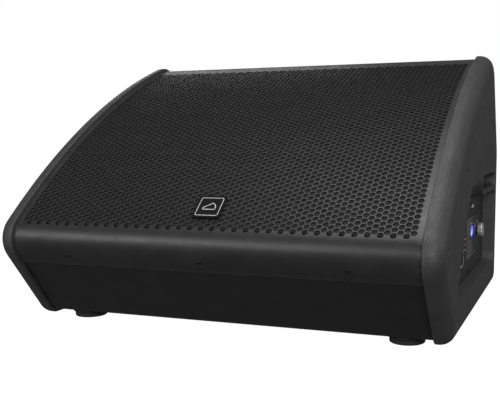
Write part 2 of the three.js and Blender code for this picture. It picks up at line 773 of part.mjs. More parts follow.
// Power rocker in its frame; it tips about a line along Y and rests with its top end in.
const ROCKER_TILT = THREE.MathUtils.degToRad(9);
part('rocker_frame', cut(
  join(panelBox(rocker, FACE - 20, FACE), panelBox(rocker, FACE + GAP, FACE + 1.5, 2),
    panelBox(rocker, FACE - 1, FACE + 1, -0.4)),
  panelBox({ ...rocker, halfY: 5, halfZ: 8.6 }, FACE - 16, FACE + PAST),
), smoothPlastic);
const ROCKER_PIVOT_X = FACE - 3;
const paddle = crosswise([
  [-3.5, -6],
  [3.9, -7.6],
  [4.6, -7],
  [2.4, 0],
  [4.6, 7],
  [3.9, 7.6],
  [-3.5, 6],
], -4.6, 4.6).rotateY(-ROCKER_TILT).translate(ROCKER_PIVOT_X, rocker.y, rocker.z);
part('power_rocker', paddle, glossPlastic);

// Sockets: a hollow shell for each, open to the outside.
function socketShell(shape, innerShape, depth, floor) {
  return cut(
    shape(FACE - depth, FACE + 0.4, 0),
    innerShape(FACE - depth + floor, FACE + PAST),
  );
}
part('mains_inlet', socketShell(
  (x0, x1) => panelBox(mains, x0, x1),
  (x0, x1) => panelBox({ ...mains, halfY: 9, halfZ: 12.2 }, x0, x1),
  24, 4,
), smoothPlastic);
part('network_sockets', cut(
  panelBox(network, FACE - 20, FACE + 0.4),
  box(FACE - 14, FACE + PAST, network.y - 6.2, network.y + 6.2, network.z + 1.8, network.z + 11),
  box(FACE - 14, FACE + PAST, network.y - 6.2, network.y + 6.2, network.z - 11, network.z - 1.8),
), smoothPlastic);

const latch = { y: xlrIn.y, z: xlrIn.z + 8.6, halfY: 2.6, halfZ: 1.5, travel: 2 };
part('xlr_input', cut(
  panelDisc(xlrIn, FACE - 22, FACE + 0.6),
  panelDisc({ ...xlrIn, r: 6.6 }, FACE - 14, FACE + PAST),
  panelBox(latch, FACE - 9, FACE + PAST, GAP),
), smoothPlastic);
part('xlr_latch_tab', panelBox(latch, FACE - 9 + latch.travel + 0.6, FACE + 2.6), brightSteel);
part('xlr_link', cut(
  panelDisc(xlrLink, FACE - 20, FACE + 0.6),
  panelDisc({ ...xlrLink, r: 9.2 }, FACE - 14, FACE + PAST),
), smoothPlastic);

// Steel tray behind the panel, with the boards, the transformer and the heat sink in it.
const { x0: trayX0, x1: trayX1, wall: trayWall } = chassis;
const leadExit = { y: 96, z: 110, r: 4 };
const wireHole = panelDisc(leadExit, trayX0 - PAST, trayX0 + trayWall + PAST);
part('amp_chassis', cut(
  box(trayX0, trayX1, chassis.y0, chassis.y1, chassis.z0, chassis.z1),
  box(trayX0 + trayWall, trayX1 + PAST, chassis.y0 + trayWall, chassis.y1 - trayWall,
    chassis.z0 + trayWall, chassis.z1 - trayWall),
  wireHole,
), blackSteel);
const BOARD = 1.6;                               // thickness of a circuit board
const boardX = trayX0 + trayWall + 6;            // boards stand 6 mm off the tray on spacers
const boardFace = boardX + BOARD + GAP;
const signalX = FACE - 20;
part('power_board', box(boardX, boardX + BOARD, -90, 44, 77, 143), circuitBoard);
part('amp_board', box(boardX, boardX + BOARD, 50, 160, 77, 143), circuitBoard);
part('signal_board', box(signalX, signalX + BOARD, 34, 160, 78, 143), circuitBoard);
part('mains_transformer', box(boardFace, boardX + 34, -24, 10, 92, 128), ferrite);

const FINS = 7;
const FIN_THICKNESS = 2;
const sink = { y0: 84, y1: 152, z0: 84, z1: 136, base: 6, height: 36 };
function heatSink() {
  const pitch = (sink.y1 - sink.y0 - FIN_THICKNESS - 2) / (FINS - 1);
  const base = box(boardFace, boardX + sink.base, sink.y0, sink.y1, sink.z0, sink.z1);
  const fins = [];
  for (let i = 0; i < FINS; i += 1) {
    const y = sink.y0 + 1 + i * pitch;
    fins.push(box(boardX + sink.base - 1, boardX + sink.height, y, y + FIN_THICKNESS,
      sink.z0 - 1, sink.z1 + 1));
  }
  return join(base, ...fins);
}
part('heat_sink', heatSink(), castAluminium);

// Speaker leads from the tray's hole to the two motors, sagging in between.
function lead(points, radius) {
  const curve = new THREE.CatmullRomCurve3(points.map((p) => new THREE.Vector3(...p)));
  return new THREE.ExtrudeGeometry(shapeOf(circlePoints(radius, 8)), {
    extrudePath: curve,
    steps: 16,
    bevelEnabled: false,
  });
}
part('woofer_lead', lead([
  [trayX0 - 2, leadExit.y + 2, leadExit.z + 1.5],
  [178, 104, 100],
  [140, 110, 80],
  [112, 96, 96],
  [101, 62, 130],
], 1.8), softRubber);
part('hf_lead', lead([
  [trayX0 - 2, leadExit.y - 2, leadExit.z - 1.5],
  [176, 90, 84],
  [138, 70, 60],
  [104, 48, 58],
  [76, 40, 74],
], 1.4), softRubber);

// ---------------------------------------------------------------- feet
const FOOT_PLACES = [
  ['front_left', -238, -144],
  ['front_right', 238, -144],
  ['rear_left', -238, 205],
  ['rear_right', 238, 205],
];
for (const [name, x, y] of FOOT_PLACES) {
  const foot = part(`foot_${name}`, turned([
    [0, 0],
    [FOOT_RADIUS - 5, 0],
    [FOOT_RADIUS - 3, 1.5],
    [FOOT_RADIUS - 3, 7.5],
    [FOOT_RADIUS, 7.5],
    [FOOT_RADIUS, FOOT_HEIGHT - GAP],
    [0, FOOT_HEIGHT - GAP],
  ], 20), softRubber);
  foot.position.set(x, y, 0);
}

export default monitor;
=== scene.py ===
import json
import math

import bmesh
import bpy
import numpy as np
from mathutils import Matrix, Vector, kdtree
from mathutils.geometry import delaunay_2d_cdt


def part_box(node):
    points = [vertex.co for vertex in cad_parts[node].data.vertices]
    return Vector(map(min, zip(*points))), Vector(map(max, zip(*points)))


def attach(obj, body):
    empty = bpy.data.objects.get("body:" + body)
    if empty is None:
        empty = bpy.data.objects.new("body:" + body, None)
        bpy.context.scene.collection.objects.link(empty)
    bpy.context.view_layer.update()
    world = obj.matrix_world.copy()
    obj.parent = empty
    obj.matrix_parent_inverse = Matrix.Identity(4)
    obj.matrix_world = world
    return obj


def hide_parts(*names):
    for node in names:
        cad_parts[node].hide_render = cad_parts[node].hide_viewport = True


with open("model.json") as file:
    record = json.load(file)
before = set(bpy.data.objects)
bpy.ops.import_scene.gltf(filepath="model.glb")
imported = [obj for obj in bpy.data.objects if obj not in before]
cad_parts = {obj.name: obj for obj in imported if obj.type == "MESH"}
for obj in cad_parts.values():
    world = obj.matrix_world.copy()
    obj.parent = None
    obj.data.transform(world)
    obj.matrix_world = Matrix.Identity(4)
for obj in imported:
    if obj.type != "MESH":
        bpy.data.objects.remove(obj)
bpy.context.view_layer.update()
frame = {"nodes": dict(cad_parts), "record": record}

# A powered floor monitor. Metres, +Z up, +X towards the amplifier's cheek, the grille faces -Y.
MM = 0.001
CABINET = "cabinet"

# ------------------------------------------------------------------ camera and studio
CAMERA_PLACE = Vector((0.451, -1.1331, 0.273))
CAMERA_AZIMUTH = math.radians(20.95)
CAMERA_ELEVATION = math.radians(5.71)
CAMERA_ROLL = math.radians(-0.57)
CAMERA_LENS = 57.52
CAMERA_SHIFT = (-0.07, 0.016)


def make_camera():
    forward = Vector((
        -math.sin(CAMERA_AZIMUTH) * math.cos(CAMERA_ELEVATION),
        math.cos(CAMERA_AZIMUTH) * math.cos(CAMERA_ELEVATION),
        -math.sin(CAMERA_ELEVATION),
    ))
    level = forward.cross(Vector((0, 0, 1))).normalized()
    upright = level.cross(forward)
    right = math.cos(CAMERA_ROLL) * level + math.sin(CAMERA_ROLL) * upright
    up = math.cos(CAMERA_ROLL) * upright - math.sin(CAMERA_ROLL) * level
    data = bpy.data.cameras.new("camera")
    data.sensor_width = 36
    data.sensor_fit = "HORIZONTAL"
    data.lens = CAMERA_LENS
    data.shift_x, data.shift_y = CAMERA_SHIFT
    data.clip_end = 100
    camera = bpy.data.objects.new("camera", data)
    turn = Matrix((right, up, -forward)).transposed()
    camera.matrix_world = Matrix.Translation(CAMERA_PLACE) @ turn.to_4x4()
    bpy.context.scene.collection.objects.link(camera)
    bpy.context.scene.camera = camera


def area_light(name, place, aim, size, power, spread=180):
    data = bpy.data.lights.new(name, "AREA")
    data.shape = "RECTANGLE"
    data.size, data.size_y = size
    data.energy = power
    data.spread = math.radians(spread)
    light = bpy.data.objects.new(name, data)
    light.location = place
    light.rotation_euler = (Vector(aim) - Vector(place)).to_track_quat("-Z", "Y").to_euler()
    bpy.context.scene.collection.objects.link(light)


def make_studio():
    area_light("overhead", (0.25, -0.22, 1.7), (0.25, -0.22, 0), (1.4, 0.9), 17)
    area_light("front_left", (-1.0, -1.9, 0.75), (0, -0.1, 0.2), (1.8, 0.5), 16)
    area_light("front_right", (1.5, -2.1, 1.0), (0.3, 0, 0.2), (1.2, 1.0), 32)
    area_light("right_side", (2.6, 0.7, 1.1), (0.3, 0, 0.2), (1.5, 1.5), 8)
    area_light("back_left", (-1.5, 2.5, 1.1), (0, 0, 0.2), (1.6, 1.4), 14)
    world = bpy.data.worlds.new("studio")
    bpy.context.scene.world = world
    world.use_nodes = True
    nodes, links = world.node_tree.nodes, world.node_tree.links
    nodes.clear()
    seen = nodes.new("ShaderNodeBackground")
    seen.inputs["Color"].default_value = (1, 1, 1, 1)
    seen.inputs["Strength"].default_value = 1.0
    fill = nodes.new("ShaderNodeBackground")
    fill.inputs["Color"].default_value = (1, 1, 1, 1)
    fill.inputs["Strength"].default_value = 0.10
    ray = nodes.new("ShaderNodeLightPath")
    mix = nodes.new("ShaderNodeMixShader")
    out = nodes.new("ShaderNodeOutputWorld")
    links.new(ray.outputs["Is Camera Ray"], mix.inputs[0])
    links.new(fill.outputs[0], mix.inputs[1])
    links.new(seen.outputs[0], mix.inputs[2])
    links.new(mix.outputs[0], out.inputs[0])
    bpy.context.scene.view_settings.view_transform = "Standard"
    bpy.context.scene.view_settings.look = "None"

    floor = mesh_object("studio_floor", *grid_sheet(-20, 20, -20, 20, 1, 1))
    material = bpy.data.materials.new("studio_floor")
    material.use_nodes = True
    shader = material.node_tree.nodes["Principled BSDF"]
    shader.inputs["Base Color"].default_value = (0.2, 0.2, 0.2, 1)
    shader.inputs["Roughness"].default_value = 1.0
    shader.inputs["Specular IOR Level"].default_value = 0.0
    shader.inputs["Emission Color"].default_value = (1, 1, 1, 1)
    shader.inputs["Emission Strength"].default_value = 1.0
    floor.data.materials.append(material)
    floor.visible_glossy = False
    floor.visible_diffuse = False


# ------------------------------------------------------------------ mesh helpers
def mesh_object(name, points, faces, smooth=None):
    """A new object. smooth is the angle, in degrees, below which an edge is shaded smooth."""
    mesh = bpy.data.meshes.new(name)
    mesh.from_pydata([tuple(p) for p in points], [], faces)
    mesh.validate()
    obj = bpy.data.objects.new(name, mesh)
    bpy.context.scene.collection.objects.link(obj)
    if smooth is not None:
        smooth_by_angle(obj, smooth)
    return obj


def smooth_by_angle(obj, angle):
    obj.data.polygons.foreach_set("use_smooth", [True] * len(obj.data.polygons))
    obj.data.set_sharp_from_angle(angle=math.radians(angle))


def grid_sheet(x0, x1, y0, y1, columns, rows):
    points = [
        (x0 + (x1 - x0) * i / columns, y0 + (y1 - y0) * j / rows, 0)
        for j in range(rows + 1)
        for i in range(columns + 1)
    ]
    faces = [
        (a, a + 1, a + columns + 2, a + columns + 1)
        for j in range(rows)
        for a in range(j * (columns + 1), j * (columns + 1) + columns)
    ]
    return points, faces


class Build:
    """Gathers points and faces of one piece, and welds what coincides."""

    def __init__(self):
        self.points = []
        self.faces = []

    def add(self, points, faces):
        start = len(self.points)
        self.points += [Vector(p) for p in points]
        self.faces += [tuple(start + i for i in face) for face in faces]

    def loft(self, loops, closed=True):
        """Quads between loops of equal length, each of them a list of points."""
        count = len(loops[0])
        start = len(self.points)
        for loop in loops:
            self.points += [Vector(p) for p in loop]
        for k in range(len(loops) - 1):
            for i in range(count if closed else count - 1):
                j = (i + 1) % count
                a = start + k * count
                b = a + count
                self.faces.append((a + i, a + j, b + j, b + i))

    def cap(self, loop, flip=False):
        start = len(self.points)
        self.points += [Vector(p) for p in loop]
        order = range(start, start + len(loop))
        self.faces.append(tuple(reversed(order)) if flip else tuple(order))

    def box(self, low, high):
        (x0, y0, z0), (x1, y1, z1) = low, high
        ring = [(x0, y0), (x1, y0), (x1, y1), (x0, y1)]
        self.loft([[(x, y, z0) for x, y in ring], [(x, y, z1) for x, y in ring]])
        self.cap([(x, y, z0) for x, y in ring], flip=True)
        self.cap([(x, y, z1) for x, y in ring])

    def finish(self, name, smooth=30, weld=1e-6, flat_tolerance=None):
        mesh = bmesh.new()
        verts = [mesh.verts.new(p) for p in self.points]
        for face in self.faces:
            try:
                mesh.faces.new([verts[i] for i in face])
            except ValueError:
                pass
        bmesh.ops.remove_doubles(mesh, verts=mesh.verts, dist=weld)
        bmesh.ops.dissolve_degenerate(mesh, edges=mesh.edges, dist=weld)
        if flat_tolerance:
            bmesh.ops.dissolve_limit(
                mesh, angle_limit=flat_tolerance, verts=mesh.verts, edges=mesh.edges
            )
        bmesh.ops.recalc_face_normals(mesh, faces=mesh.faces)
        data = bpy.data.meshes.new(name)
        mesh.to_mesh(data)
        mesh.free()
        obj = bpy.data.objects.new(name, data)
        bpy.context.scene.collection.objects.link(obj)
        smooth_by_angle(obj, smooth)
        return obj


def place(obj, body, material, slot, *replaced):
    """Rides a finished piece on a body and gives it its material."""
    obj.data.materials.clear()
    obj.data.materials.append(material)
    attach(obj, body)
    if replaced:
        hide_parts(*replaced)
    return obj


def smooth_step(value, low, high):
    t = min(1, max(0, (value - low) / (high - low)))
    return t * t * (3 - 2 * t)


# ------------------------------------------------------------------ side-view outlines
def circle(y, z, r):
    return {"at": Vector((y, z)) * MM, "r": r * MM}


# The cheek's outline is a belt round these circles, and the grille follows the crown's arc.
BOTTOM_FRONT = circle(-169.5, 32, 25)
BOTTOM_REAR = circle(227, 32, 25)
WAIST = circle(205, 222, 60)
TOP_REAR = circle(171.8, 338, 45)
NOSE = circle(-225.9, 124.8, 39.1)
CROWN = circle(490.1, -702.7, 1133.3)

LIP = 5 * MM                     # the cheek stands this far proud of the grille and the box
ARC_TURN = math.radians(6)
EDGE_STEP = 8 * MM


def direction(angle):
    return Vector((math.cos(angle), math.sin(angle)))


def edge_angle(a, b):
    """Outward direction of the straight edge that a belt makes from circle a to circle b."""
    run = b["at"] - a["at"]
    return math.atan2(run.y, run.x) - math.acos((a["r"] - b["r"]) / run.length)


def angle_of(circle_, point):
    run = point - circle_["at"]
    return math.atan2(run.y, run.x)


FACING = {
    "bottom": edge_angle(BOTTOM_FRONT, BOTTOM_REAR),
    "rear_lower": edge_angle(BOTTOM_REAR, WAIST),
    "rear_upper": edge_angle(WAIST, TOP_REAR),
    "crown_top": angle_of(CROWN, TOP_REAR["at"]),
    "crown_nose": angle_of(CROWN, NOSE["at"]),
    "undercut": edge_angle(NOSE, BOTTOM_FRONT) + 2 * math.pi,
}
OUTLINE = [
    (BOTTOM_FRONT, FACING["undercut"] - 2 * math.pi, FACING["bottom"]),
    (BOTTOM_REAR, FACING["bottom"], FACING["rear_lower"]),
    (WAIST, FACING["rear_lower"], FACING["rear_upper"]),
    (TOP_REAR, FACING["rear_upper"], FACING["crown_top"]),
    (CROWN, FACING["crown_top"], FACING["crown_nose"]),
    (NOSE, FACING["crown_nose"], FACING["undercut"]),
]


def on_circle(circle_, angle, grow=0.0):
    return circle_["at"] + (circle_["r"] + grow) * direction(angle)


def arc_points(circle_, start, end, grow=0.0):
    steps = max(1, math.ceil(abs(end - start) / min(ARC_TURN, EDGE_STEP / circle_["r"])))
    return [on_circle(circle_, start + (end - start) * i / steps, grow) for i in range(steps + 1)]


def outline(grow):
    """The closed outline, grown outwards, with the same number of points at any growth."""
    points = []
    for i, (circle_, start, end) in enumerate(OUTLINE):
        following, next_start, _ = OUTLINE[(i + 1) % len(OUTLINE)]
        points += arc_points(circle_, start, end, grow)
        tail, head = points[-1], on_circle(following, next_start, grow)
        length = (on_circle(circle_, end) - on_circle(following, next_start)).length
        steps = math.ceil(length / EDGE_STEP)
        points += [tail.lerp(head, k / steps) for k in range(1, steps)]
        if length < 1e-6:
            points.pop()
    return points


def inset_of(point):
    """How far a point of the side view lies inside the outline."""
    gaps = []
    for circle_, start, end in OUTLINE:
        run = point - circle_["at"]
        turn = (math.atan2(run.y, run.x) - start) % (2 * math.pi)
        if turn <= end - start:
            gaps.append(circle_["r"] - run.length)
        normal = direction(end)
        gaps.append((circle_["at"] - point).dot(normal) + circle_["r"])
    return min(gaps)


def rounded(corners, like=None, corner_steps=8):
    """A polygon of (y, z, radius) corners, anticlockwise, with rounded corners.

    like is another polygon of as many corners, whose edges are divided as this one's are."""
    def tangents(polygon, i):
        here = Vector(polygon[i][:2])
        before = (Vector(polygon[i - 1][:2]) - here).normalized()
        after = (Vector(polygon[(i + 1) % len(polygon)][:2]) - here).normalized()
        half = before.angle(after) / 2
        reach = polygon[i][2] / math.tan(half) if half < math.radians(89.5) else 0.0
        return here, here + before * reach, here + after * reach, half

    points = []
    model = like or corners
    for i in range(len(corners)):
        here, first, last, half = tangents(corners, i)
        if half >= math.radians(89.5):
            bend = [here]
        else:
            axis = ((first + last) / 2 - here).normalized()
            centre = here + axis * (corners[i][2] / math.sin(half))
            sweep = (first - centre).angle_signed(last - centre)
            begin = math.atan2(first.y - centre.y, first.x - centre.x)
            bend = [
                centre + corners[i][2] * direction(begin - sweep * k / corner_steps)
                for k in range(corner_steps + 1)
            ]
        if len(bend) == 1 and tangents(model, i)[3] < math.radians(89.5):
            bend = bend * (corner_steps + 1)
        points += bend
        _, _, leave, _ = tangents(model, i)
        _, arrive, _, _ = tangents(model, (i + 1) % len(model))
        steps = max(1, math.ceil((arrive - leave).length / (EDGE_STEP / MM)))
        tail = bend[-1]
        _, head, _, _ = tangents(corners, (i + 1) % len(corners))
        points += [tail.lerp(head, k / steps) for k in range(1, steps)]
    return [p * MM for p in points]


def shrink(corners, distance):
    """The polygon offset inwards; the radii follow, so that the edges stay parallel."""
    moved = []
    for i, (y, z, radius) in enumerate(corners):
        here = Vector((y, z))
        before = (here - Vector(corners[i - 1][:2])).normalized()
        after = (Vector(corners[(i + 1) % len(corners)][:2]) - here).normalized()
        inward = Vector((-before.y, before.x)) + Vector((-after.y, after.x))
        turn = before.x * after.y - before.y * after.x
        place_ = here + inward * distance / (1 + before.dot(after))
        moved.append((place_.x, place_.y, max(0.5, radius - math.copysign(distance, turn))))
    return moved


def ring_points(y, z, radius, steps=20):
    return [
        Vector((y, z)) * MM + radius * MM * direction(2 * math.pi * k / steps)
        for k in range(steps)
    ]


# ------------------------------------------------------------------ filled faces
def inside_polygon(points, polygon):
    """For each point, whether it lies inside the polygon."""
    x, y = points[:, 0][:, None], points[:, 1][:, None]
    a = np.array([tuple(p) for p in polygon])
    b = np.roll(a, -1, axis=0)
    crosses = (a[:, 1] > y) != (b[:, 1] > y)
    with np.errstate(divide="ignore", invalid="ignore"):
        reach = a[:, 0] + (y - a[:, 1]) * (b[:, 0] - a[:, 0]) / (b[:, 1] - a[:, 1])
    return (np.sum(crosses & (x < reach), axis=1) % 2) == 1


def fill(border, holes=(), lines=(), spacing=6 * MM):
    """Triangles in the plane between a border and holes, with even points in between."""
    points, edges = [], []
    for loop, closed in [(border, True)] + [(h, True) for h in holes] + [(l, False) for l in lines]:
        start = len(points)
        points += [Vector(p) for p in loop]
        count = len(loop)
        edges += [(start + i, start + (i + 1) % count) for i in range(count if closed else count - 1)]
    if spacing:
        near = kdtree.KDTree(len(points))
        for i, p in enumerate(points):
            near.insert((p.x, p.y, 0), i)
        near.balance()
        low = [min(p[k] for p in border) for k in (0, 1)]
        high = [max(p[k] for p in border) for k in (0, 1)]
        rows = int((high[1] - low[1]) / (spacing * 0.866)) + 1
        columns = int((high[0] - low[0]) / spacing) + 1
        grid = np.array([
            (low[0] + (i + 0.5 * (j % 2)) * spacing, low[1] + j * spacing * 0.866)
            for j in range(rows) for i in range(columns)
        ])
        wanted = inside_polygon(grid, border)
        for hole in holes:
            wanted &= ~inside_polygon(grid, hole)
        for x, y in grid[wanted]:
            if near.find((x, y, 0))[2] > 0.6 * spacing:
                points.append(Vector((x, y)))
    found, _, faces, _, _, _ = delaunay_2d_cdt(points, edges, [], 0, 1e-7)
    middles = np.array([tuple(sum((found[i] for i in face), Vector((0, 0))) / 3) for face in faces])
    kept = inside_polygon(middles, border)
    for hole in holes:
        kept &= ~inside_polygon(middles, hole)
    return found, [face for face, keep in zip(faces, kept) if keep]


# ------------------------------------------------------------------ cheeks
CHEEK_LOW, CHEEK_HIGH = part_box("right_cheek")
CHEEK_BACK = CHEEK_LOW.x
CHEEK_FULL = CHEEK_HIGH.x        # the crowned middle of the outer face
CHEEK_EDGE = CHEEK_FULL - 2 * MM # where the round meets the outer face
ROUND = 20 * MM
ROUND_STEPS = 14
PANEL_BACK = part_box("amp_panel")[0].x
PANEL_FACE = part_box("amp_panel")[1].x
WALL_STEPS = 12


def face_x(point):
    fullness = smooth_step(inset_of(point), ROUND, ROUND + 90 * MM)
    return CHEEK_EDGE + (CHEEK_FULL - CHEEK_EDGE) * fullness


def crease_z(y):
    """Height of the palm relief's arched upper edge."""
    return (242 - 27 * ((185 - y / MM) / 203) ** 2) * MM


RELIEF_DEPTH = 3 * MM
RELIEF_EDGE = 2.4 * MM
RELIEF_FRONT, RELIEF_REAR = -18 * MM, 214 * MM
CREASE_LINES = 5
CREASE_STEPS = 56


def relief(point):
    y, z = point
    below = smooth_step(crease_z(y) - z, 0, RELIEF_EDGE)
    along = smooth_step(y, RELIEF_FRONT, RELIEF_FRONT + 12 * MM)
    across = smooth_step(z, 60 * MM, 150 * MM)
    return RELIEF_DEPTH * below * along * across * (1 - smooth_step(y, 120 * MM, 208 * MM))


def cheek_x(point):
    return face_x(point) - relief(point)


def cheek_round():
    """Loops from the back face, up the side and round on to the outer face."""
    bevel = 0.7 * MM
    loops = [
        [(CHEEK_BACK, p.x, p.y) for p in outline(-bevel)],
        [(CHEEK_BACK + bevel, p.x, p.y) for p in outline(0)],
    ]
    for k in range(ROUND_STEPS + 1):
        turn = math.pi / 2 * k / ROUND_STEPS
        x = CHEEK_EDGE - ROUND * (1 - math.sin(turn))
        loops.append([(x, p.x, p.y) for p in outline(-ROUND * (1 - math.cos(turn)))])
    return loops


def wall_loops(top, bottom, floor_x):
    """Loops down a moulded wall, softly rounded where it leaves the face and meets the floor."""
    loops = []
    for k in range(WALL_STEPS + 1):
        t = k / WALL_STEPS
        drop = t * t * (3 - 2 * t)
        loop = []
        for a, b in zip(top, bottom):
            p = a.lerp(b, t)
            x = cheek_x(a)
            loop.append((x + (floor_x - x) * drop, p.x, p.y))
        loops.append(loop)
    return loops


HAND_HOLE = [(78, 178, 9.9), (212, 178, 9.9), (212, 198, 9.9), (78, 198, 9.9)]
RECESS_TOP = [
    (-176, 51, 14), (219, 51, 15), (219, 170.5, 10), (84, 170.5, 10), (60, 196, 14), (-55, 196, 20),
    (-150, 112, 40),
]
RECESS_FOOT = [
    (-133.5, 54.5, 12), (216, 54.5, 13), (216, 168, 10), (84, 168, 6), (60, 168, 6), (-43, 168, 12),
    (-92, 112, 30),
]
GRIP_TOP = [(52, 102.5, 16), (219, 102.5, 15), (219, 173, 12), (66, 173, 14)]
GRIP_FOOT = [(64, 107, 12), (213, 107, 12), (213, 169, 10), (74, 169, 10)]
GROOVE = [(187, 330), (227, 253)]
CHEEK_SCREWS = [(52, 298), (-92, 215), (-229, 132), (-166, 33.5), (229, 62), (158, 352)]
SCREW_WELL = 4.3
SCREW_DEPTH = 3.5 * MM
SEAT_GAP = 0.3 * MM              # the recess ends this far behind the panel's back
GRIP_FLOOR = 290 * MM
POLE_SEAT = 32.6                 # radius of the hole round the pole cup's collar
GROOVE_DEPTH = 1.6 * MM


def groove_loop(half_width):
    (y0, z0), (y1, z1) = GROOVE
    along = (Vector((y1, z1)) - Vector((y0, z0))).normalized()
    side = Vector((-along.y, along.x))
    start, end = Vector((y0, z0)), Vector((y1, z1))
    corners = [
        (start - side * half_width), (start + side * half_width),
        (end + side * half_width), (end - side * half_width),
    ]
    return [(p.x, p.y, half_width * 0.96) for p in reversed(corners)]


def make_cheek(name, side, node):
    """side is 1 for the amplifier's cheek and -1 for the other."""
    build = Build()
    loops = cheek_round()
    build.loft(loops)
    holes, back_holes = [], []

    def well(top_corners, foot_corners, floor_x, floor=True):
        top, foot = rounded(top_corners), rounded(foot_corners, like=top_corners)
        holes.append(top)
        build.loft(wall_loops(top, foot, floor_x))
        if floor:
            points, faces = fill(foot)
            build.add([(floor_x, p.x, p.y) for p in points], faces)
        return foot

    hand = well(shrink(HAND_HOLE, -1.2), HAND_HOLE, CHEEK_BACK, floor=False)
    back_holes.append(hand)
    if side > 0:
        foot = well(RECESS_TOP, RECESS_FOOT, PANEL_BACK - SEAT_GAP, floor=False)
        ledge = rounded(shrink(RECESS_FOOT, 6), like=RECESS_TOP)
        build.loft([
            [(PANEL_BACK - SEAT_GAP, p.x, p.y) for p in foot],
            [(PANEL_BACK - SEAT_GAP, p.x, p.y) for p in ledge],
            [(CHEEK_BACK, p.x, p.y) for p in ledge],
        ])
        back_holes.append(ledge)
    else:
        well(GRIP_TOP, GRIP_FOOT, GRIP_FLOOR)
        pole_low, pole_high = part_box("pole_cup")
        collar = -pole_low.x
        y, z = (pole_low.y + pole_high.y) / 2 / MM, (pole_low.z + pole_high.z) / 2 / MM
        seat, edge = ring_points(y, z, POLE_SEAT, 48), ring_points(y, z, POLE_SEAT + 1.9, 48)
        holes.append(edge)
        back_holes.append(seat)
        build.loft([
            [(cheek_x(p), p.x, p.y) for p in edge],
            [(cheek_x(p) - 0.6 * MM, p.x, p.y) for p in ring_points(y, z, POLE_SEAT + 0.7, 48)],
            [(collar - 1 * MM, p.x, p.y) for p in seat],
            [(CHEEK_BACK, p.x, p.y) for p in seat],
        ])

    for y, z in CHEEK_SCREWS:
        top, foot = ring_points(y, z, SCREW_WELL + 0.5), ring_points(y, z, SCREW_WELL)
        holes.append(top)
        build.loft([
            [(cheek_x(p), p.x, p.y) for p in top],
            [(cheek_x(p) - 0.5 * MM, p.x, p.y) for p in foot],
            [(cheek_x(p) - SCREW_DEPTH, p.x, p.y) for p in foot],
        ])
        build.cap([(cheek_x(p) - SCREW_DEPTH, p.x, p.y) for p in foot])

    top, foot = rounded(groove_loop(1.3)), rounded(groove_loop(0.7), like=groove_loop(1.3))
    holes.append(top)
    build.loft([
        [(cheek_x(p), p.x, p.y) for p in top],
        [(cheek_x(p) - 0.4 * MM, p.x, p.y) for p in foot],
        [(cheek_x(p) - GROOVE_DEPTH, p.x, p.y) for p in foot],
    ])
    points, faces = fill(foot, spacing=0)
    build.add([(cheek_x(p) - GROOVE_DEPTH, p.x, p.y) for p in points], faces)

    begin = RELIEF_FRONT + 4 * MM
    length = RELIEF_REAR - begin
    crease = []
    for k in range(CREASE_LINES):
        below = RELIEF_EDGE * k / (CREASE_LINES - 1)
        line = [begin + length * i / CREASE_STEPS for i in range(CREASE_STEPS + 1)]
        crease.append([Vector((y, crease_z(y) - below)) for y in line])
    border = [Vector(p[1:]) for p in loops[-1]]
    points, faces = fill(border, holes, crease, spacing=5 * MM)
    build.add([(cheek_x(p), p.x, p.y) for p in points], faces)

    back = [Vector(p[1:]) for p in loops[0]]
    points, faces = fill(back, back_holes, spacing=0)
    build.add([(CHEEK_BACK, p.x, p.y) for p in points], faces)
    if side < 0:
        build.points = [Vector((-p.x, p.y, p.z)) for p in build.points]
    cheek = build.finish(name, smooth=35)
    return place(cheek, CABINET, GRAINED_PLASTIC, "grained_plastic", node)


# ------------------------------------------------------------------ materials
def new_material(name):
    material = bpy.data.materials.new(name)
    material.use_nodes = True
    tree = material.node_tree
    return material, tree.nodes, tree.links, tree.nodes["Principled BSDF"]


def coordinates(nodes, links, stretch=(1, 1, 1)):
    place_ = nodes.new("ShaderNodeTexCoord")
    mapping = nodes.new("ShaderNodeMapping")
    mapping.inputs["Scale"].default_value = stretch
    links.new(place_.outputs["Object"], mapping.inputs["Vector"])
    return mapping.outputs["Vector"]


def texture(nodes, links, kind, size, stretch=(1, 1, 1), detail=3):
    """A grey pattern whose features are about size metres across."""
    vector = coordinates(nodes, links, stretch)
    if kind == "cells":
        node = nodes.new("ShaderNodeTexVoronoi")
        node.inputs["Scale"].default_value = 1 / size
        out = node.outputs["Distance"]
    elif kind == "pebbles":
        node = nodes.new("ShaderNodeTexVoronoi")
        node.feature = "SMOOTH_F1"
        node.inputs["Scale"].default_value = 1 / size
        node.inputs["Smoothness"].default_value = 0.6
        out = node.outputs["Distance"]
    elif kind == "rings":
        node = nodes.new("ShaderNodeTexWave")
        node.inputs["Scale"].default_value = 0.314 / size
        node.inputs["Distortion"].default_value = 1.5
        out = node.outputs["Fac"]
    else:
        node = nodes.new("ShaderNodeTexNoise")
        node.inputs["Scale"].default_value = 1 / size
        node.inputs["Detail"].default_value = detail
        out = node.outputs["Fac"]
    links.new(vector, node.inputs["Vector"])
    return out


def ramp(nodes, links, source, stops):
    """stops are (place, colour), where a colour is a grey number or three numbers."""
    node = nodes.new("ShaderNodeValToRGB")
    ends = node.color_ramp.elements
    while len(ends) < len(stops):
        ends.new(0.5)
    for end, (where, colour) in zip(ends, stops):
        end.position = where
        rgb = (colour,) * 3 if isinstance(colour, (int, float)) else colour
        end.color = (*rgb, 1)
    links.new(source, node.inputs["Fac"])
    return node.outputs["Color"]


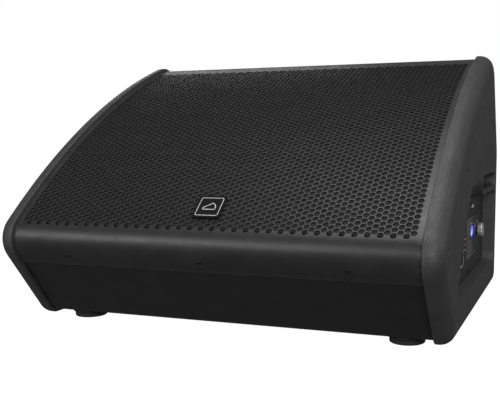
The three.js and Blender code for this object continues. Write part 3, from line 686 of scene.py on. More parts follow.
def surface(name, tones, rough, layers, patch=0.03, dust=0.0, wear=0.0, **sockets):
    """A procedural finish.

    tones are the dark and light colours of its patches, rough the range of its roughness, and
    layers its relief: (pattern, size, depth, stretch). dust greys what faces up, and wear
    lightens sharp edges. The other arguments are plain values of the shader's own sockets.
    """
    material, nodes, links, shader = new_material(name)
    patches = texture(nodes, links, "noise", patch, detail=5)
    colour = ramp(nodes, links, patches, [(0.3, tones[0]), (0.7, tones[1])])
    if wear:
        geometry = nodes.new("ShaderNodeNewGeometry")
        worn = ramp(nodes, links, geometry.outputs["Pointiness"], [(0.53, 0.0), (0.62, 1.0)])
        scratch = texture(nodes, links, "noise", 0.004, detail=6)
        both = nodes.new("ShaderNodeMath")
        both.operation = "MULTIPLY"
        links.new(worn, both.inputs[0])
        links.new(ramp(nodes, links, scratch, [(0.45, 0.0), (0.65, wear)]), both.inputs[1])
        colour = mixed(nodes, links, both.outputs[0], colour, (0.12, 0.12, 0.12))
    if dust:
        geometry = nodes.new("ShaderNodeNewGeometry")
        split = nodes.new("ShaderNodeSeparateXYZ")
        links.new(geometry.outputs["Normal"], split.inputs[0])
        upward = ramp(nodes, links, split.outputs["Z"], [(0.3, 0.0), (1.0, 1.0)])
        specks = texture(nodes, links, "noise", 0.002, detail=6)
        both = nodes.new("ShaderNodeMath")
        both.operation = "MULTIPLY"
        links.new(upward, both.inputs[0])
        links.new(ramp(nodes, links, specks, [(0.5, 0.0), (0.8, dust)]), both.inputs[1])
        colour = mixed(nodes, links, both.outputs[0], colour, (0.35, 0.34, 0.32))
    links.new(colour, shader.inputs["Base Color"])
    smudge = texture(nodes, links, "noise", patch * 0.6, detail=4)
    links.new(ramp(nodes, links, smudge, [(0.3, rough[0]), (0.7, rough[1])]), shader.inputs["Roughness"])
    normal = None
    for layer in layers:
        kind, size, depth = layer[:3]
        stretch = layer[3] if len(layer) > 3 else (1, 1, 1)
        bump = nodes.new("ShaderNodeBump")
        bump.inputs["Distance"].default_value = depth
        bump.inputs["Strength"].default_value = 1.0
        links.new(texture(nodes, links, kind, size, stretch), bump.inputs["Height"])
        if normal:
            links.new(normal, bump.inputs["Normal"])
        normal = bump.outputs["Normal"]
    if normal:
        links.new(normal, shader.inputs["Normal"])
    for socket, value in sockets.items():
        shader.inputs[socket.replace("_", " ")].default_value = value
    return material


def mixed(nodes, links, factor, first, second):
    node = nodes.new("ShaderNodeMix")
    node.data_type = "RGBA"
    links.new(factor, node.inputs[0])
    links.new(first, node.inputs[6])
    node.inputs[7].default_value = (*second, 1)
    return node.outputs[2]


def grey(value, blue=1.0):
    return (value, value, value * blue)


GRAINED_PLASTIC = surface(
    "grained_plastic", (grey(0.036, 1.05), grey(0.046, 1.05)), (0.42, 0.56),
    [("pebbles", 1.4 * MM, 0.42 * MM), ("noise", 0.6 * MM, 0.1 * MM)], dust=0.12, wear=0.3,
)
MOULDED_BLACK = surface(
    "moulded_black", (grey(0.016), grey(0.021)), (0.4, 0.52),
    [("noise", 0.9 * MM, 0.06 * MM)], patch=0.02,
)
GLOSS_BLACK = surface(
    "gloss_black", (grey(0.006), grey(0.009)), (0.08, 0.16), [("noise", 12 * MM, 0.05 * MM)],
    Coat_Weight=0.4, Coat_Roughness=0.05,
)
CABINET_PAINT = surface(
    "cabinet_paint", (grey(0.011), grey(0.015)), (0.42, 0.55),
    [("noise", 0.9 * MM, 0.006 * MM)], dust=0.1,
)
BARE_PLY = surface(
    "bare_ply", ((0.36, 0.24, 0.13), (0.50, 0.36, 0.21)), (0.6, 0.8),
    [("noise", 3 * MM, 0.2 * MM, (0.1, 1, 1)), ("rings", 8 * MM, 0.1 * MM, (0.05, 1, 1))],
    patch=0.012,
)
SILVER_PLASTIC = surface(
    "silver_plastic", (grey(0.42), grey(0.52)), (0.25, 0.38),
    [("noise", 0.8 * MM, 0.03 * MM)], patch=0.01, Metallic=0.55,
)
GRILLE_COAT = surface(
    "grille_coat", (grey(0.018, 1.04), grey(0.024, 1.04)), (0.36, 0.44),
    [("noise", 0.8 * MM, 0.07 * MM), ("noise", 6 * MM, 0.1 * MM)], dust=0.1, wear=0.35,
)
OPEN_FOAM = surface(
    "open_foam", (grey(0.022), grey(0.032)), (0.9, 1.0),
    [("cells", 1.3 * MM, 0.9 * MM), ("noise", 0.5 * MM, 0.3 * MM)], patch=0.006,
    Specular_IOR_Level=0.2,
)
SOFT_RUBBER = surface(
    "soft_rubber", (grey(0.013), grey(0.020)), (0.6, 0.75),
    [("noise", 1.0 * MM, 0.08 * MM)], patch=0.01, dust=0.1,
)
BLACK_STEEL = surface(
    "black_steel", (grey(0.020, 1.05), grey(0.030, 1.05)), (0.3, 0.45),
    [("noise", 1.2 * MM, 0.04 * MM)], patch=0.008, Metallic=0.6,
)
BRIGHT_STEEL = surface(
    "bright_steel", (grey(0.50), grey(0.62)), (0.22, 0.34),
    [("noise", 0.6 * MM, 0.02 * MM, (1, 12, 1))], patch=0.004, Metallic=1.0,
)
CAST_ALUMINIUM = surface(
    "cast_aluminium", (grey(0.40), grey(0.50)), (0.4, 0.55),
    [("noise", 1.5 * MM, 0.12 * MM)], patch=0.015, Metallic=0.9,
)
FERRITE = surface(
    "ferrite", (grey(0.035), grey(0.055)), (0.5, 0.65),
    [("noise", 2.0 * MM, 0.15 * MM)], patch=0.012,
)
DOME_METAL = surface(
    "dome_metal", (grey(0.55), grey(0.62)), (0.18, 0.28),
    [("noise", 3 * MM, 0.03 * MM)], patch=0.01, Metallic=1.0,
)
PAPER_PULP = surface(
    "paper_pulp", (grey(0.020), grey(0.034)), (0.75, 0.9),
    [("noise", 1.8 * MM, 0.25 * MM), ("cells", 4 * MM, 0.2 * MM)], patch=0.008,
)
TREATED_CLOTH = surface(
    "treated_cloth", ((0.30, 0.19, 0.07), (0.42, 0.28, 0.12)), (0.7, 0.85),
    [("rings", 1.0 * MM, 0.2 * MM), ("rings", 1.0 * MM, 0.2 * MM, (0.2, 1, 1))], patch=0.01,
)
COPPER_WINDING = surface(
    "copper_winding", ((0.50, 0.20, 0.09), (0.68, 0.30, 0.14)), (0.25, 0.35),
    [("rings", 0.5 * MM, 0.1 * MM, (0.02, 0.3, 1))], patch=0.005, Metallic=1.0,
)
CIRCUIT_BOARD = surface(
    "circuit_board", ((0.010, 0.060, 0.024), (0.016, 0.090, 0.036)), (0.3, 0.42),
    [("rings", 2.5 * MM, 0.08 * MM, (1, 0.2, 1)), ("noise", 1 * MM, 0.05 * MM)], patch=0.006,
)
LEGEND_WHITE = surface(
    "legend_white", (grey(0.62), grey(0.74)), (0.5, 0.6), [("noise", 0.5 * MM, 0.02 * MM)],
)
CONTACT_GOLD = surface(
    "contact_gold", ((0.70, 0.46, 0.15), (0.80, 0.55, 0.20)), (0.22, 0.32),
    [("noise", 0.5 * MM, 0.02 * MM)], patch=0.004, Metallic=1.0,
)


def glow(name, colours, strength, patch=0.01):
    """A lit surface: its light varies a little over it, as through a diffuser."""
    material, nodes, links, shader = new_material(name)
    pattern = texture(nodes, links, "noise", patch, detail=1)
    links.new(ramp(nodes, links, pattern, [(0.3, colours[0]), (0.7, colours[1])]),
              shader.inputs["Emission Color"])
    shader.inputs["Base Color"].default_value = (0.01, 0.01, 0.01, 1)
    shader.inputs["Emission Strength"].default_value = strength
    shader.inputs["Roughness"].default_value = 0.15
    return material


DISPLAY_WINDOW = glow("display_window", ((0.002, 0.025, 0.60), (0.004, 0.05, 0.85)), 1.0, 0.02)
DISPLAY_MARKS = glow("display_marks", ((0.75, 0.85, 1.0), (0.9, 0.95, 1.0)), 0.9)
LAMP_AMBER = glow("lamp_amber", ((0.8, 0.55, 0.08), (0.9, 0.65, 0.12)), 0.2)
LAMP_RED = glow("lamp_red", ((0.6, 0.05, 0.03), (0.7, 0.08, 0.05)), 0.3)

FINISHES = {
    "cabinet_paint": CABINET_PAINT,
    "bare_ply": BARE_PLY,
    "grained_plastic": GRAINED_PLASTIC,
    "moulded_black": MOULDED_BLACK,
    "gloss_black": GLOSS_BLACK,
    "silver_plastic": SILVER_PLASTIC,
    "display_window": DISPLAY_WINDOW,
    "grille_coat": GRILLE_COAT,
    "open_foam": OPEN_FOAM,
    "soft_rubber": SOFT_RUBBER,
    "black_steel": BLACK_STEEL,
    "bright_steel": BRIGHT_STEEL,
    "cast_aluminium": CAST_ALUMINIUM,
    "ferrite": FERRITE,
    "dome_metal": DOME_METAL,
    "paper_pulp": PAPER_PULP,
    "treated_cloth": TREATED_CLOTH,
    "copper_winding": COPPER_WINDING,
    "circuit_board": CIRCUIT_BOARD,
}


def finish_cad_nodes():
    """Every CAD node gets the finish of its material slot, and smooth shading on its curves."""
    for part in frame["record"]["subparts"]:
        obj = frame["nodes"].get(part["node"])
        if obj is None:
            continue
        obj.data.materials.clear()
        obj.data.materials.append(FINISHES[part["material_slot"]])
        smooth_by_angle(obj, 35)


# ------------------------------------------------------------------ grille and painted coat
def boundary_loops(faces):
    """The loops of edges that belong to one face only, in the faces' own direction."""
    owned = {}
    for face in faces:
        for a, b in zip(face, face[1:] + face[:1]):
            owned[(a, b)] = True
    following = {}
    for a, b in owned:
        if (b, a) not in owned:
            following.setdefault(a, []).append(b)
    loops = []
    while following:
        start, ways = next(iter(following.items()))
        loop = [start]
        here = ways.pop()
        if not ways:
            del following[start]
        while here != start:
            loop.append(here)
            ways = following[here]
            onward = ways.pop()
            if not ways:
                del following[here]
            here = onward
        loops.append(loop)
    return loops


def thicken(build, points, faces, outer, inner):
    """Makes a solid sheet: outer and inner place each flat point on its two faces."""
    faces = [tuple(face) for face in faces]
    build.add([outer(p) for p in points], faces)
    build.add([inner(p) for p in points], [face[::-1] for face in faces])
    for loop in boundary_loops(faces):
        rim = [points[i] for i in loop]
        build.loft([[outer(p) for p in rim], [inner(p) for p in rim]])


def welded(points, faces, distance=1e-6):
    """The same faces with coinciding points shared."""
    index, kept, moved = {}, [], []
    for p in points:
        key = (round(p.x / distance / 10), round(p.y / distance / 10))
        if key not in index:
            index[key] = len(kept)
            kept.append(p)
        moved.append(index[key])
    return kept, [tuple(moved[i] for i in face) for face in faces]


GRILLE_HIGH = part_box("grille")[1]
SHEET = 1.5 * MM
CROWN_END = FACING["crown_top"] + 1.2 * MM / CROWN["r"]
NOSE_TURN = FACING["undercut"] - FACING["crown_nose"]
SHEET_RADIUS = CROWN["r"] - LIP
NOSE_RADIUS = NOSE["r"] - LIP
FRONT_LENGTH = SHEET_RADIUS * (FACING["crown_nose"] - CROWN_END)
NOSE_LENGTH = NOSE_RADIUS * NOSE_TURN
LIP_LENGTH = 13.7 * MM
FLANGE = 8 * MM
COAT = 0.15 * MM


def down_the_front(s, sink=0.0):
    """Side-view point at the distance s down the grille's outer face, sunk into the sheet."""
    grow = -LIP - sink
    if s <= FRONT_LENGTH:
        return on_circle(CROWN, CROWN_END + max(0, s) / SHEET_RADIUS, grow)
    if s <= FRONT_LENGTH + NOSE_LENGTH:
        turn = (s - FRONT_LENGTH) / NOSE_RADIUS
        return on_circle(NOSE, FACING["crown_nose"] + turn, grow)
    beyond = s - FRONT_LENGTH - NOSE_LENGTH
    tip = on_circle(NOSE, FACING["undercut"], grow)
    return tip + beyond * direction(FACING["undercut"] + math.pi / 2)


def on_grille(sink=0.0):
    def placed(p):
        point = down_the_front(p.y, sink)
        return Vector((p.x, point.x, point.y))
    return placed


HOLE_PITCH = 8.8 * MM
HOLE_FLATS = 7.65 * MM
PLAIN_TOP = 12 * MM
PLAIN_SIDE = 4 * MM
PLAIN_FOOT = -5 * MM


def honeycomb(half_width, top, foot):
    """Cells with six-sided holes in staggered columns. Returns points and faces, flat."""
    across = HOLE_PITCH * math.sqrt(3) / 2
    corner = HOLE_PITCH / math.sqrt(3)
    hole = HOLE_FLATS / math.sqrt(3)
    columns = int((2 * half_width - 2 * corner) / across) + 1
    rows = int((foot - top) / HOLE_PITCH - 0.5)
    points, faces = [], []
    for i in range(columns):
        x = (i - (columns - 1) / 2) * across
        for j in range(rows):
            s = foot - (j + 0.5 + (0.5 if i % 2 == 0 else 0.0)) * HOLE_PITCH
            start = len(points)
            for radius in (corner, hole):
                points += [Vector((x, s)) + radius * direction(math.pi / 3 * k) for k in range(6)]
            for k in range(6):
                m = (k + 1) % 6
                faces.append((start + k, start + m, start + 6 + m, start + 6 + k))
    return welded(points, faces)


def make_grille():
    half = GRILLE_HIGH.x
    comb_points, comb_faces = honeycomb(half - PLAIN_SIDE, PLAIN_TOP, FRONT_LENGTH - PLAIN_FOOT)
    loops = boundary_loops(comb_faces)
    outer_loop = max(loops, key=len)
    hole_edge = [comb_points[i] for i in outer_loop]

    across = [-half + 2 * half * i / 70 for i in range(71)]
    end = FRONT_LENGTH + 8 * MM
    down = [end * j / 59 for j in range(60)]
    border = [Vector((x, 0)) for x in across[:-1]]
    border += [Vector((half, s)) for s in down[:-1]]
    border += [Vector((x, end)) for x in across[:0:-1]]
    border += [Vector((-half, s)) for s in down[:0:-1]]
    margin_points, margin_faces = fill(border, [hole_edge], spacing=0)

    points, faces = list(comb_points), list(comb_faces)
    start = len(points)
    points += margin_points
    faces += [tuple(start + i for i in face) for face in margin_faces]

    bends = [end + (FRONT_LENGTH + NOSE_LENGTH - end) * k / 12 for k in range(13)]
    bends += [FRONT_LENGTH + NOSE_LENGTH + LIP_LENGTH * k / 2 for k in (1, 2)]
    for s0, s1 in zip(bends, bends[1:]):
        for x0, x1 in zip(across, across[1:]):
            start = len(points)
            points += [Vector((x0, s0)), Vector((x1, s0)), Vector((x1, s1)), Vector((x0, s1))]
            faces.append((start, start + 1, start + 2, start + 3))
    points, faces = welded(points, faces)
    faces = [anticlockwise(points, face) for face in faces]

    build = Build()
    thicken(build, points, faces, on_grille(), on_grille(SHEET))
    fold = on_circle(CROWN, CROWN_END, -LIP)
    inward = -direction(CROWN_END)
    along = direction(CROWN_END + math.pi / 2)
    for x0, x1 in zip(across, across[1:]):
        corners = [fold + inward * SHEET, fold + inward * SHEET + along * SHEET,
                   fold + inward * FLANGE + along * SHEET, fold + inward * FLANGE]
        build.loft([[(x, p.x, p.y) for p in corners] for x in (x0, x1)])
    grille = build.finish("perforated_grille", smooth=30)
    return place(grille, CABINET, GRILLE_COAT, "grille_coat", "grille")


def anticlockwise(points, face):
    area = sum(
        points[a].x * points[b].y - points[b].x * points[a].y
        for a, b in zip(face, face[1:] + face[:1])
    )
    return face if area > 0 else face[::-1]


def path(sections, grow):
    """An open line round the circles, joined by straight edges."""
    points = []
    for circle_, start, end in sections:
        arc = arc_points(circle_, start, end, grow)
        if points and (arc[0] - points[-1]).length > 1.5 * EDGE_STEP:
            tail, steps = points[-1], math.ceil((arc[0] - points[-1]).length / (4 * EDGE_STEP))
            points += [tail.lerp(arc[0], k / steps) for k in range(1, steps)]
        points += arc
    return points


def make_coat():
    """The paint over the box's joints, from the grille's lip under and behind to its top."""
    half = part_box("right_end_panel")[1].x
    sections = OUTLINE[:4] + [(CROWN, FACING["crown_top"], CROWN_END - 0.3 * MM / CROWN["r"])]
    begin = on_circle(NOSE, FACING["undercut"], 0)
    begin += (LIP_LENGTH + 0.8 * MM) * direction(FACING["undercut"] + math.pi / 2)
    normal = direction(FACING["undercut"])

    def line(sink):
        start = begin - normal * (LIP + 1.2 * MM + sink)
        return [start] + path(sections, -LIP + COAT - sink)

    outer, inner = line(0), line(COAT)
    build = Build()
    loop = outer + inner[::-1]
    columns = [-half + 2 * half * i / 40 for i in range(41)]
    build.loft([[(x, p.x, p.y) for p in loop] for x in columns])
    for x in (-half, half):
        start = len(build.points)
        build.points += [Vector((x, p.x, p.y)) for p in loop]
        count = len(outer)
        build.faces += [
            (start + k, start + k + 1, start + 2 * count - 2 - k, start + 2 * count - 1 - k)
            for k in range(count - 1)
        ]
    return place(build.finish("painted_coat"), CABINET, CABINET_PAINT, "cabinet_paint")


# ------------------------------------------------------------------ turned pieces and marks
def basis(origin, axis):
    """Places (a, b, height) points about an axis."""
    axis = Vector(axis).normalized()
    side = Vector((0, 0, 1)) if abs(axis.z) < 0.9 else Vector((0, 1, 0))
    side = (side - axis * side.dot(axis)).normalized()
    other = axis.cross(side)
    return lambda a, b, height: Vector(origin) + side * a + other * b + axis * height


def flat_sided(radius, angle, sides):
    half = math.pi / sides
    return radius * math.cos(half) / math.cos(angle % (2 * half) - half)


def turned(build, profile, placed, steps=32, shape=None):
    """Turns (radius, height) pairs about an axis. shape(radius, height, angle) may vary them."""
    loops = []
    for radius, height in profile:
        loop = []
        for k in range(steps):
            angle = 2 * math.pi * k / steps
            r = shape(radius, height, angle) if shape else radius
            loop.append(placed(r * math.cos(angle), r * math.sin(angle), height))
        loops.append(loop)
    build.loft(loops)


def screw(build, origin, axis, radius, height=1.4 * MM):
    """A low domed head with a six-sided socket."""
    socket = radius * 0.52
    rim = height * 0.35

    def shape(r, _, angle):
        return flat_sided(r, angle, 6) if r <= socket else r

    turned(build, [
        (0, -0.2 * MM), (radius, -0.2 * MM), (radius, rim), (radius * 0.93, height * 0.7),
        (radius * 0.78, height), (radius * 0.6, height), (socket, height - 0.1 * MM),
        (socket * 0.96, height - 1.0 * MM), (0, height - 1.1 * MM),
    ], basis(origin, axis), steps=24, shape=shape)


def ribbon(build, line, width, placed, height=0.12 * MM, closed=False):
    """A thin raised line along flat points, with mitred corners."""
    line = [Vector(p) for p in line]
    count = len(line)
    rings = []
    for i, here in enumerate(line):
        before = line[i - 1] if closed or i > 0 else 2 * here - line[1]
        after = line[(i + 1) % count] if closed or i < count - 1 else 2 * here - line[-2]
        a, b = (here - before).normalized(), (after - here).normalized()
        side = Vector((-(a + b).y, (a + b).x)).normalized()
        reach = width / 2 / max(0.3, side.dot(Vector((-a.y, a.x))))
        left, right = here + side * reach, here - side * reach
        rings.append([
            placed(left.x, left.y, 0), placed(left.x, left.y, height),
            placed(right.x, right.y, height), placed(right.x, right.y, 0),
        ])
    if closed:
        rings.append(rings[0])
    build.loft(rings)
    if not closed:
        build.cap(rings[0])
        build.cap(rings[-1], flip=True)


def soften(obj, width, segments=2):
    """Rounds the sharp edges of a piece."""
    bevel = obj.modifiers.new("soften", "BEVEL")
    bevel.width = width
    bevel.segments = segments
    bevel.limit_method = "ANGLE"
    bevel.angle_limit = math.radians(50)
    bevel.use_clamp_overlap = True
    bevel.harden_normals = False


# ------------------------------------------------------------------ badge, feet and screws
BADGE_LOW, BADGE_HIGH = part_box("badge")


def make_badge_mark():
    """A plain generic mark: a rounded outline and the side view of a wedge."""
    middle = (BADGE_LOW + BADGE_HIGH) / 2
    angle = angle_of(CROWN, Vector((middle.y, middle.z)))
    face = on_circle(CROWN, angle, -2.47 * MM)
    up = -direction(angle + math.pi / 2)
    out = direction(angle)

    def placed(a, b, height):
        flat = face + up * b + out * height
        return Vector((a, flat.x, flat.y))

    build = Build()
    edge = [(-15.5, -15.5, 2.5), (15.5, -15.5, 2.5), (15.5, 15.5, 2.5), (-15.5, 15.5, 2.5)]
    ribbon(build, rounded(edge), 0.7 * MM, placed, closed=True)
    wedge = [(-8.5, -5, 1.2), (8.5, -5, 1.2), (8.5, 1, 1.2), (3.5, 6.5, 1.5), (-8.5, -2, 1.0)]
    ribbon(build, rounded(wedge, corner_steps=4), 0.9 * MM, placed, closed=True)
    place(build.finish("badge_mark"), CABINET, LEGEND_WHITE, "silver_plastic")


def make_feet():
    for name in ("foot_front_left", "foot_front_right", "foot_rear_left", "foot_rear_right"):
        low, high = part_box(name)
        origin = Vector(((low.x + high.x) / 2, (low.y + high.y) / 2, 0))
        radius, top = (high.x - low.x) / 2 / MM, high.z / MM
        foot = Build()
        profile = [
            (0, top), (radius - 0.2, top), (radius, top - 0.3), (radius, 9.0),
            (radius - 0.4, 8.1), (radius - 1.3, 7.5), (radius - 2.3, 7.3), (radius - 2.8, 6.8),
            (radius - 3.0, 6.0), (radius - 3.0, 1.8), (radius - 3.3, 0.8), (radius - 4.0, 0.2),
            (radius - 5.0, 0.0), (11.0, 0.0), (10.4, 0.3), (10.0, 1.0), (9.6, 5.4), (0, 5.4),
        ]
        profile = [(r * MM, h * MM) for r, h in profile]
        turned(foot, profile, basis(origin, (0, 0, 1)), steps=72)
        place(foot.finish("rubber_" + name, smooth=40), CABINET, SOFT_RUBBER, "soft_rubber", name)
        bolt = Build()
        screw(bolt, origin + Vector((0, 0, 5.6 * MM)), (0, 0, -1), 4.5 * MM, 2.2 * MM)
        place(bolt.finish("screw_" + name), CABINET, BLACK_STEEL, "black_steel")


def make_screws():
    for name in ("grille_screw_left", "grille_screw_middle", "grille_screw_right"):
        low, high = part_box(name)
        middle = (low + high) / 2
        angle = angle_of(NOSE, Vector((middle.y, middle.z)))
        seat = on_circle(NOSE, angle, -LIP + 0.05 * MM)
        build = Build()
        out = direction(angle)
        screw(build, (middle.x, seat.x, seat.y), (0, out.x, out.y), 3.1 * MM, 1.3 * MM)
        place(build.finish("head_of_" + name), CABINET, BLACK_STEEL, "black_steel", name)
    for side in (1, -1):
        build = Build()
        for y, z in CHEEK_SCREWS:
            at = Vector((y, z)) * MM
            depth = cheek_x(at) - SCREW_DEPTH
            screw(build, (side * depth, at.x, at.y), (side, 0, 0), 3.9 * MM, 1.8 * MM)
        name = "cheek_screws_right" if side > 0 else "cheek_screws_left"
        place(build.finish(name), CABINET, BLACK_STEEL, "black_steel")


def make_hand_cup(name, side, node):
    """A moulded pocket with rounded corners, open towards the cheek."""
    low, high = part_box(node)
    mouth = max(abs(low.x), abs(high.x))
    floor = min(abs(low.x), abs(high.x))
    y0, y1 = low.y / MM, high.y / MM
    z0, z1 = low.z / MM, high.z / MM
    bend = 16 * MM
    wall = 3 * MM
    outside = [(y0, z0, 20), (y1, z0, 20), (y1, z1, 20), (y0, z1, 20)]

    def shell(inset, bottom):
        loops = [[(mouth, p.x, p.y) for p in rounded(shrink(outside, inset), like=outside)]]
        for k in range(9):
            turn = math.pi / 2 * k / 8
            x = bottom + bend * (1 - math.sin(turn))
            reach = inset + bend / MM * (1 - math.cos(turn))
            loops.append([(x, p.x, p.y) for p in rounded(shrink(outside, reach), like=outside)])
        return loops

    build = Build()
    outer, inner = shell(0, floor), shell(wall / MM, floor + wall)
    build.loft(outer[::-1] + inner)
    for loop in (outer[-1], inner[-1]):
        points, faces = fill([Vector(p[1:]) for p in loop], spacing=0)
        build.add([(loop[0][0], p.x, p.y) for p in points], faces)
    build.points = [Vector((side * p.x, p.y, p.z)) for p in build.points]
    cup = build.finish(name, smooth=40)
    place(cup, CABINET, MOULDED_BLACK, "moulded_black", node)


# ------------------------------------------------------------------ control panel
PANEL_SCREWS = [(-108, 63), (50, 62), (206, 64), (206, 159), (73, 159), (-38, 159)]
MAINS = (-77, 92)
INPUT = (-10, 92)
LINK = (-10, 132)
NETWORK = (-42, 132)


def on_panel(x):
    return lambda y, z, height: Vector((x + height, y, z))


def mark(build, *corners, width=0.7, closed=False, x=PANEL_FACE + 0.02 * MM):
    ribbon(build, [Vector(c) * MM for c in corners], width * MM, on_panel(x), closed=closed)


def ticks(build, y, z, count, pitch=2.2, tall=2.2, width=0.9):
    """A row of short strokes that stands in for a printed word."""
    for i in range(count):
        start = y + (i - (count - 1) / 2) * pitch
        height = tall * (0.7 if i % 3 == 1 else 1.0)
        mark(build, (start, z - tall / 2), (start, z - tall / 2 + height), width=width)


def make_legends():
    build = Build()
    ticks(build, 93, 153, 9, pitch=2.6, tall=4.0, width=1.2)
    ticks(build, -46, 105, 4)
    ticks(build, -77, 113, 7)
    ticks(build, -42, 113, 6)
    ticks(build, -10, 151, 5)
    ticks(build, -38, 70, 8, pitch=2.6, tall=3.6, width=1.2)
    ticks(build, -14, 110, 6, pitch=2.4, tall=3.6, width=1.2)
    y, z = INPUT
    sides = [(y + 15, z + 12), (y + 15, z - 10), (y + 11, z - 15), (y - 11, z - 15)]
    sides += [(y - 15, z - 10), (y - 15, z + 12)]
    mark(build, *sides, width=0.9)
    y, z = LINK
    for way in (1, -1):
        mark(build, (y + way * 15, z - 8), (y + way * 15, z + 8), width=0.6)
    mark(build, (y + 18, z - 2), (y + 21, z + 2), (y + 24, z - 2), width=0.6)
    y, z = MAINS
    mark(build, (y - 18, z + 20), (y + 18, z + 20), width=0.5)
    for lamp in LAMPS:
        mark(build, (LAMP_Y + 3.5, lamp), (LAMP_Y + 8, lamp), width=0.8)
    y, z = KNOB
    for k in range(-4, 5):
        around = direction(math.pi / 2 + k * math.radians(15))
        inner, outer = Vector((y, z)) + around * 13.2, Vector((y, z)) + around * 15.2
        mark(build, inner, outer, width=0.6, x=INSERT_FACE + 0.02 * MM)
    place(build.finish("panel_legends"), CABINET, LEGEND_WHITE, "silver_plastic")


LAMP_Y = 18
LAMPS = (96, 104, 112, 120, 128)
KNOB = (144, 111)
INSERT_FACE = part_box("control_insert")[1].x


def make_lamps():
    for name, heights, finish in (("amber", LAMPS[:3], LAMP_AMBER), ("red", LAMPS[3:], LAMP_RED)):
        build = Build()
        for z in heights:
            at = (PANEL_FACE - 0.1 * MM, LAMP_Y * MM, z * MM)
            turned(build, [
                (0, 0), (1.5 * MM, 0), (1.5 * MM, 0.4 * MM), (1.1 * MM, 0.8 * MM),
                (0.5 * MM, 1.0 * MM), (0, 1.05 * MM),
            ], basis(at, (1, 0, 0)), steps=20)
        place(build.finish("lamps_" + name, smooth=50), CABINET, finish, "display_window")


def make_panel_screws():
    build = Build()
    for y, z in PANEL_SCREWS:
        screw(build, (PANEL_FACE, y * MM, z * MM), (1, 0, 0), 3.2 * MM, 1.3 * MM)
    for y, z in (INPUT, LINK):
        for way in (1, -1):
            screw(build, (PANEL_FACE, (y + way * 12.2) * MM, (z + 9.5) * MM), (1, 0, 0),
                  1.6 * MM, 0.8 * MM)
    place(build.finish("panel_screws"), CABINET, BLACK_STEEL, "black_steel")


def make_display_marks():
    low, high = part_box("display")
    face = high.x + 0.02 * MM
    y, z = (low.y + high.y) / 2 / MM, (low.z + high.z) / 2 / MM
    build = Build()
    for i in range(6):
        top = -3 + 1.4 * i
        mark(build, (y - 5 + 2 * i, z - 5.5), (y - 5 + 2 * i, z + top), width=0.6, x=face)
    mark(build, (y - 14, z - 5.5), (y - 9, z - 5.5), (y - 9, z + 4.5), (y - 14, z + 4.5),
         width=0.7, closed=True, x=face)
    for up in (-4, 0, 4):
        mark(build, (y + 10.5, z + up), (y + 14, z + up), width=0.7, x=face)
    place(build.finish("display_marks"), CABINET, DISPLAY_MARKS, "display_window")

    frame_line = [
        (low.y / MM - 1.2, low.z / MM - 1.2, 1.5), (high.y / MM + 1.2, low.z / MM - 1.2, 1.5),
        (high.y / MM + 1.2, high.z / MM + 1.2, 1.5), (low.y / MM - 1.2, high.z / MM + 1.2, 1.5),
    ]
    bezel = Build()
    ribbon(bezel, rounded(frame_line), 1.6 * MM, on_panel(INSERT_FACE - 0.1 * MM),
           height=0.6 * MM, closed=True)
    place(bezel.finish("display_bezel"), CABINET, MOULDED_BLACK, "moulded_black")


def make_knob():
    low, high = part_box("encoder_knob")
    radius = (high.y - low.y) / 2
    back = INSERT_FACE + 1.1 * MM
    front = high.x
    ribs = 30

    def shape(r, x, angle):
        if r < radius - 0.5 * MM:
            return r
        return r - 0.45 * MM * (0.5 + 0.5 * math.cos(ribs * angle))

    origin = Vector((0, KNOB[0] * MM, KNOB[1] * MM))
    edge = 0.5 * MM
    build = Build()
    turned(build, [
        (0, low.x), (2.8 * MM, low.x), (2.8 * MM, back), (radius - 1.2 * MM, back),
        (radius - 0.6 * MM, back + 0.3 * MM), (radius, back + 0.9 * MM), (radius, front - 1.4 * MM),
        (radius - 0.55 * MM, front - 0.6 * MM), (radius - 1.2 * MM, front - 0.15 * MM),
        (radius - 1.9 * MM, front), (radius - 2.6 * MM, front - 0.1 * MM),
        (radius - 3.0 * MM, front - edge), (radius * 0.4, front - edge - 0.35 * MM),
        (0, front - edge - 0.45 * MM),
    ], basis(origin, (1, 0, 0)), steps=ribs * 8, shape=shape)
    place(build.finish("ribbed_knob", smooth=50), "knob", SILVER_PLASTIC, "silver_plastic",
          "encoder_knob")


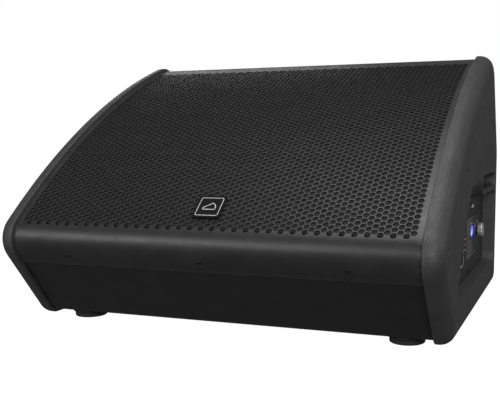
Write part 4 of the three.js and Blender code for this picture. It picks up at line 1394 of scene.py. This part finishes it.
def make_contacts():
    gold, steel = Build(), Build()
    for (y, z), deep, proud in ((INPUT, 272.6, 275.4), (LINK, 272.2, 283.0)):
        for angle in (90, 210, 330):
            at = Vector((y, z)) + 4.2 * direction(math.radians(angle))
            turned(gold, [
                (0, deep * MM), (1.2 * MM, deep * MM), (1.2 * MM, (proud - 0.5) * MM),
                (0.8 * MM, proud * MM), (0, proud * MM),
            ], basis((0, at.x * MM, at.y * MM), (1, 0, 0)), steps=16)
    y, z = NETWORK
    for way in (1, -1):
        for k in range(8):
            where = y - 4.2 + 1.2 * k
            base = z + way * 6.4
            gold.box((272.4 * MM, (where - 0.2) * MM, (base + 1.8) * MM),
                     (283.0 * MM, (where + 0.2) * MM, (base + 2.4) * MM))
    y, z = MAINS
    for dy, dz in ((3, 0), (-3, 7), (-3, -7)):
        steel.box((266.3 * MM, (y + dy - 2) * MM, (z + dz - 1) * MM),
                  (279.0 * MM, (y + dy + 2) * MM, (z + dz + 1) * MM))
    place(gold.finish("socket_contacts"), CABINET, CONTACT_GOLD, "copper_winding")
    pins = place(steel.finish("mains_pins"), CABINET, BRIGHT_STEEL, "bright_steel")
    soften(pins, 0.4 * MM)


def make_rocker_marks():
    low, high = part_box("power_rocker")
    build = Build()
    y = (low.y + high.y) / 2 / MM
    z = (low.z + high.z) / 2 / MM
    ring = [Vector((y, z - 4.4)) + 1.3 * direction(math.pi / 8 * k) for k in range(16)]
    mark(build, (y, z + 3.2), (y, z + 5.8), width=0.6, x=high.x - 0.4 * MM)
    ribbon(build, [p * MM for p in ring], 0.5 * MM, on_panel(high.x - 0.4 * MM), closed=True)
    place(build.finish("rocker_marks"), "rocker", LEGEND_WHITE, "silver_plastic")


SOFTENED = {
    "amp_panel": 0.5, "control_insert": 0.4, "display": 0.3, "rocker_frame": 0.4,
    "power_rocker": 0.4, "mains_inlet": 0.4, "network_sockets": 0.3, "xlr_input": 0.4,
    "xlr_link": 0.4, "xlr_latch_tab": 0.3, "badge": 0.4, "heat_sink": 0.3, "amp_chassis": 0.5,
    "mains_transformer": 1.0, "bottom_panel": 0.6, "rear_lower_panel": 0.6,
    "rear_upper_panel": 0.6, "top_rail": 0.6, "front_panel": 0.6, "nose_block": 0.6,
    "right_end_panel": 0.6, "left_end_panel": 0.6,
}


# ------------------------------------------------------------------ the model
make_camera()
make_studio()
finish_cad_nodes()
for node_name, width in SOFTENED.items():
    soften(frame["nodes"][node_name], width * MM)
make_cheek("moulded_cheek_right", 1, "right_cheek")
make_cheek("moulded_cheek_left", -1, "left_cheek")
make_grille()
make_coat()
make_badge_mark()
make_feet()
make_screws()
make_hand_cup("hand_pocket_right", 1, "right_hand_cup")
make_hand_cup("hand_pocket_left", -1, "left_hand_cup")
make_legends()
make_lamps()
make_panel_screws()
make_display_marks()
make_knob()
make_contacts()
make_rocker_marks()
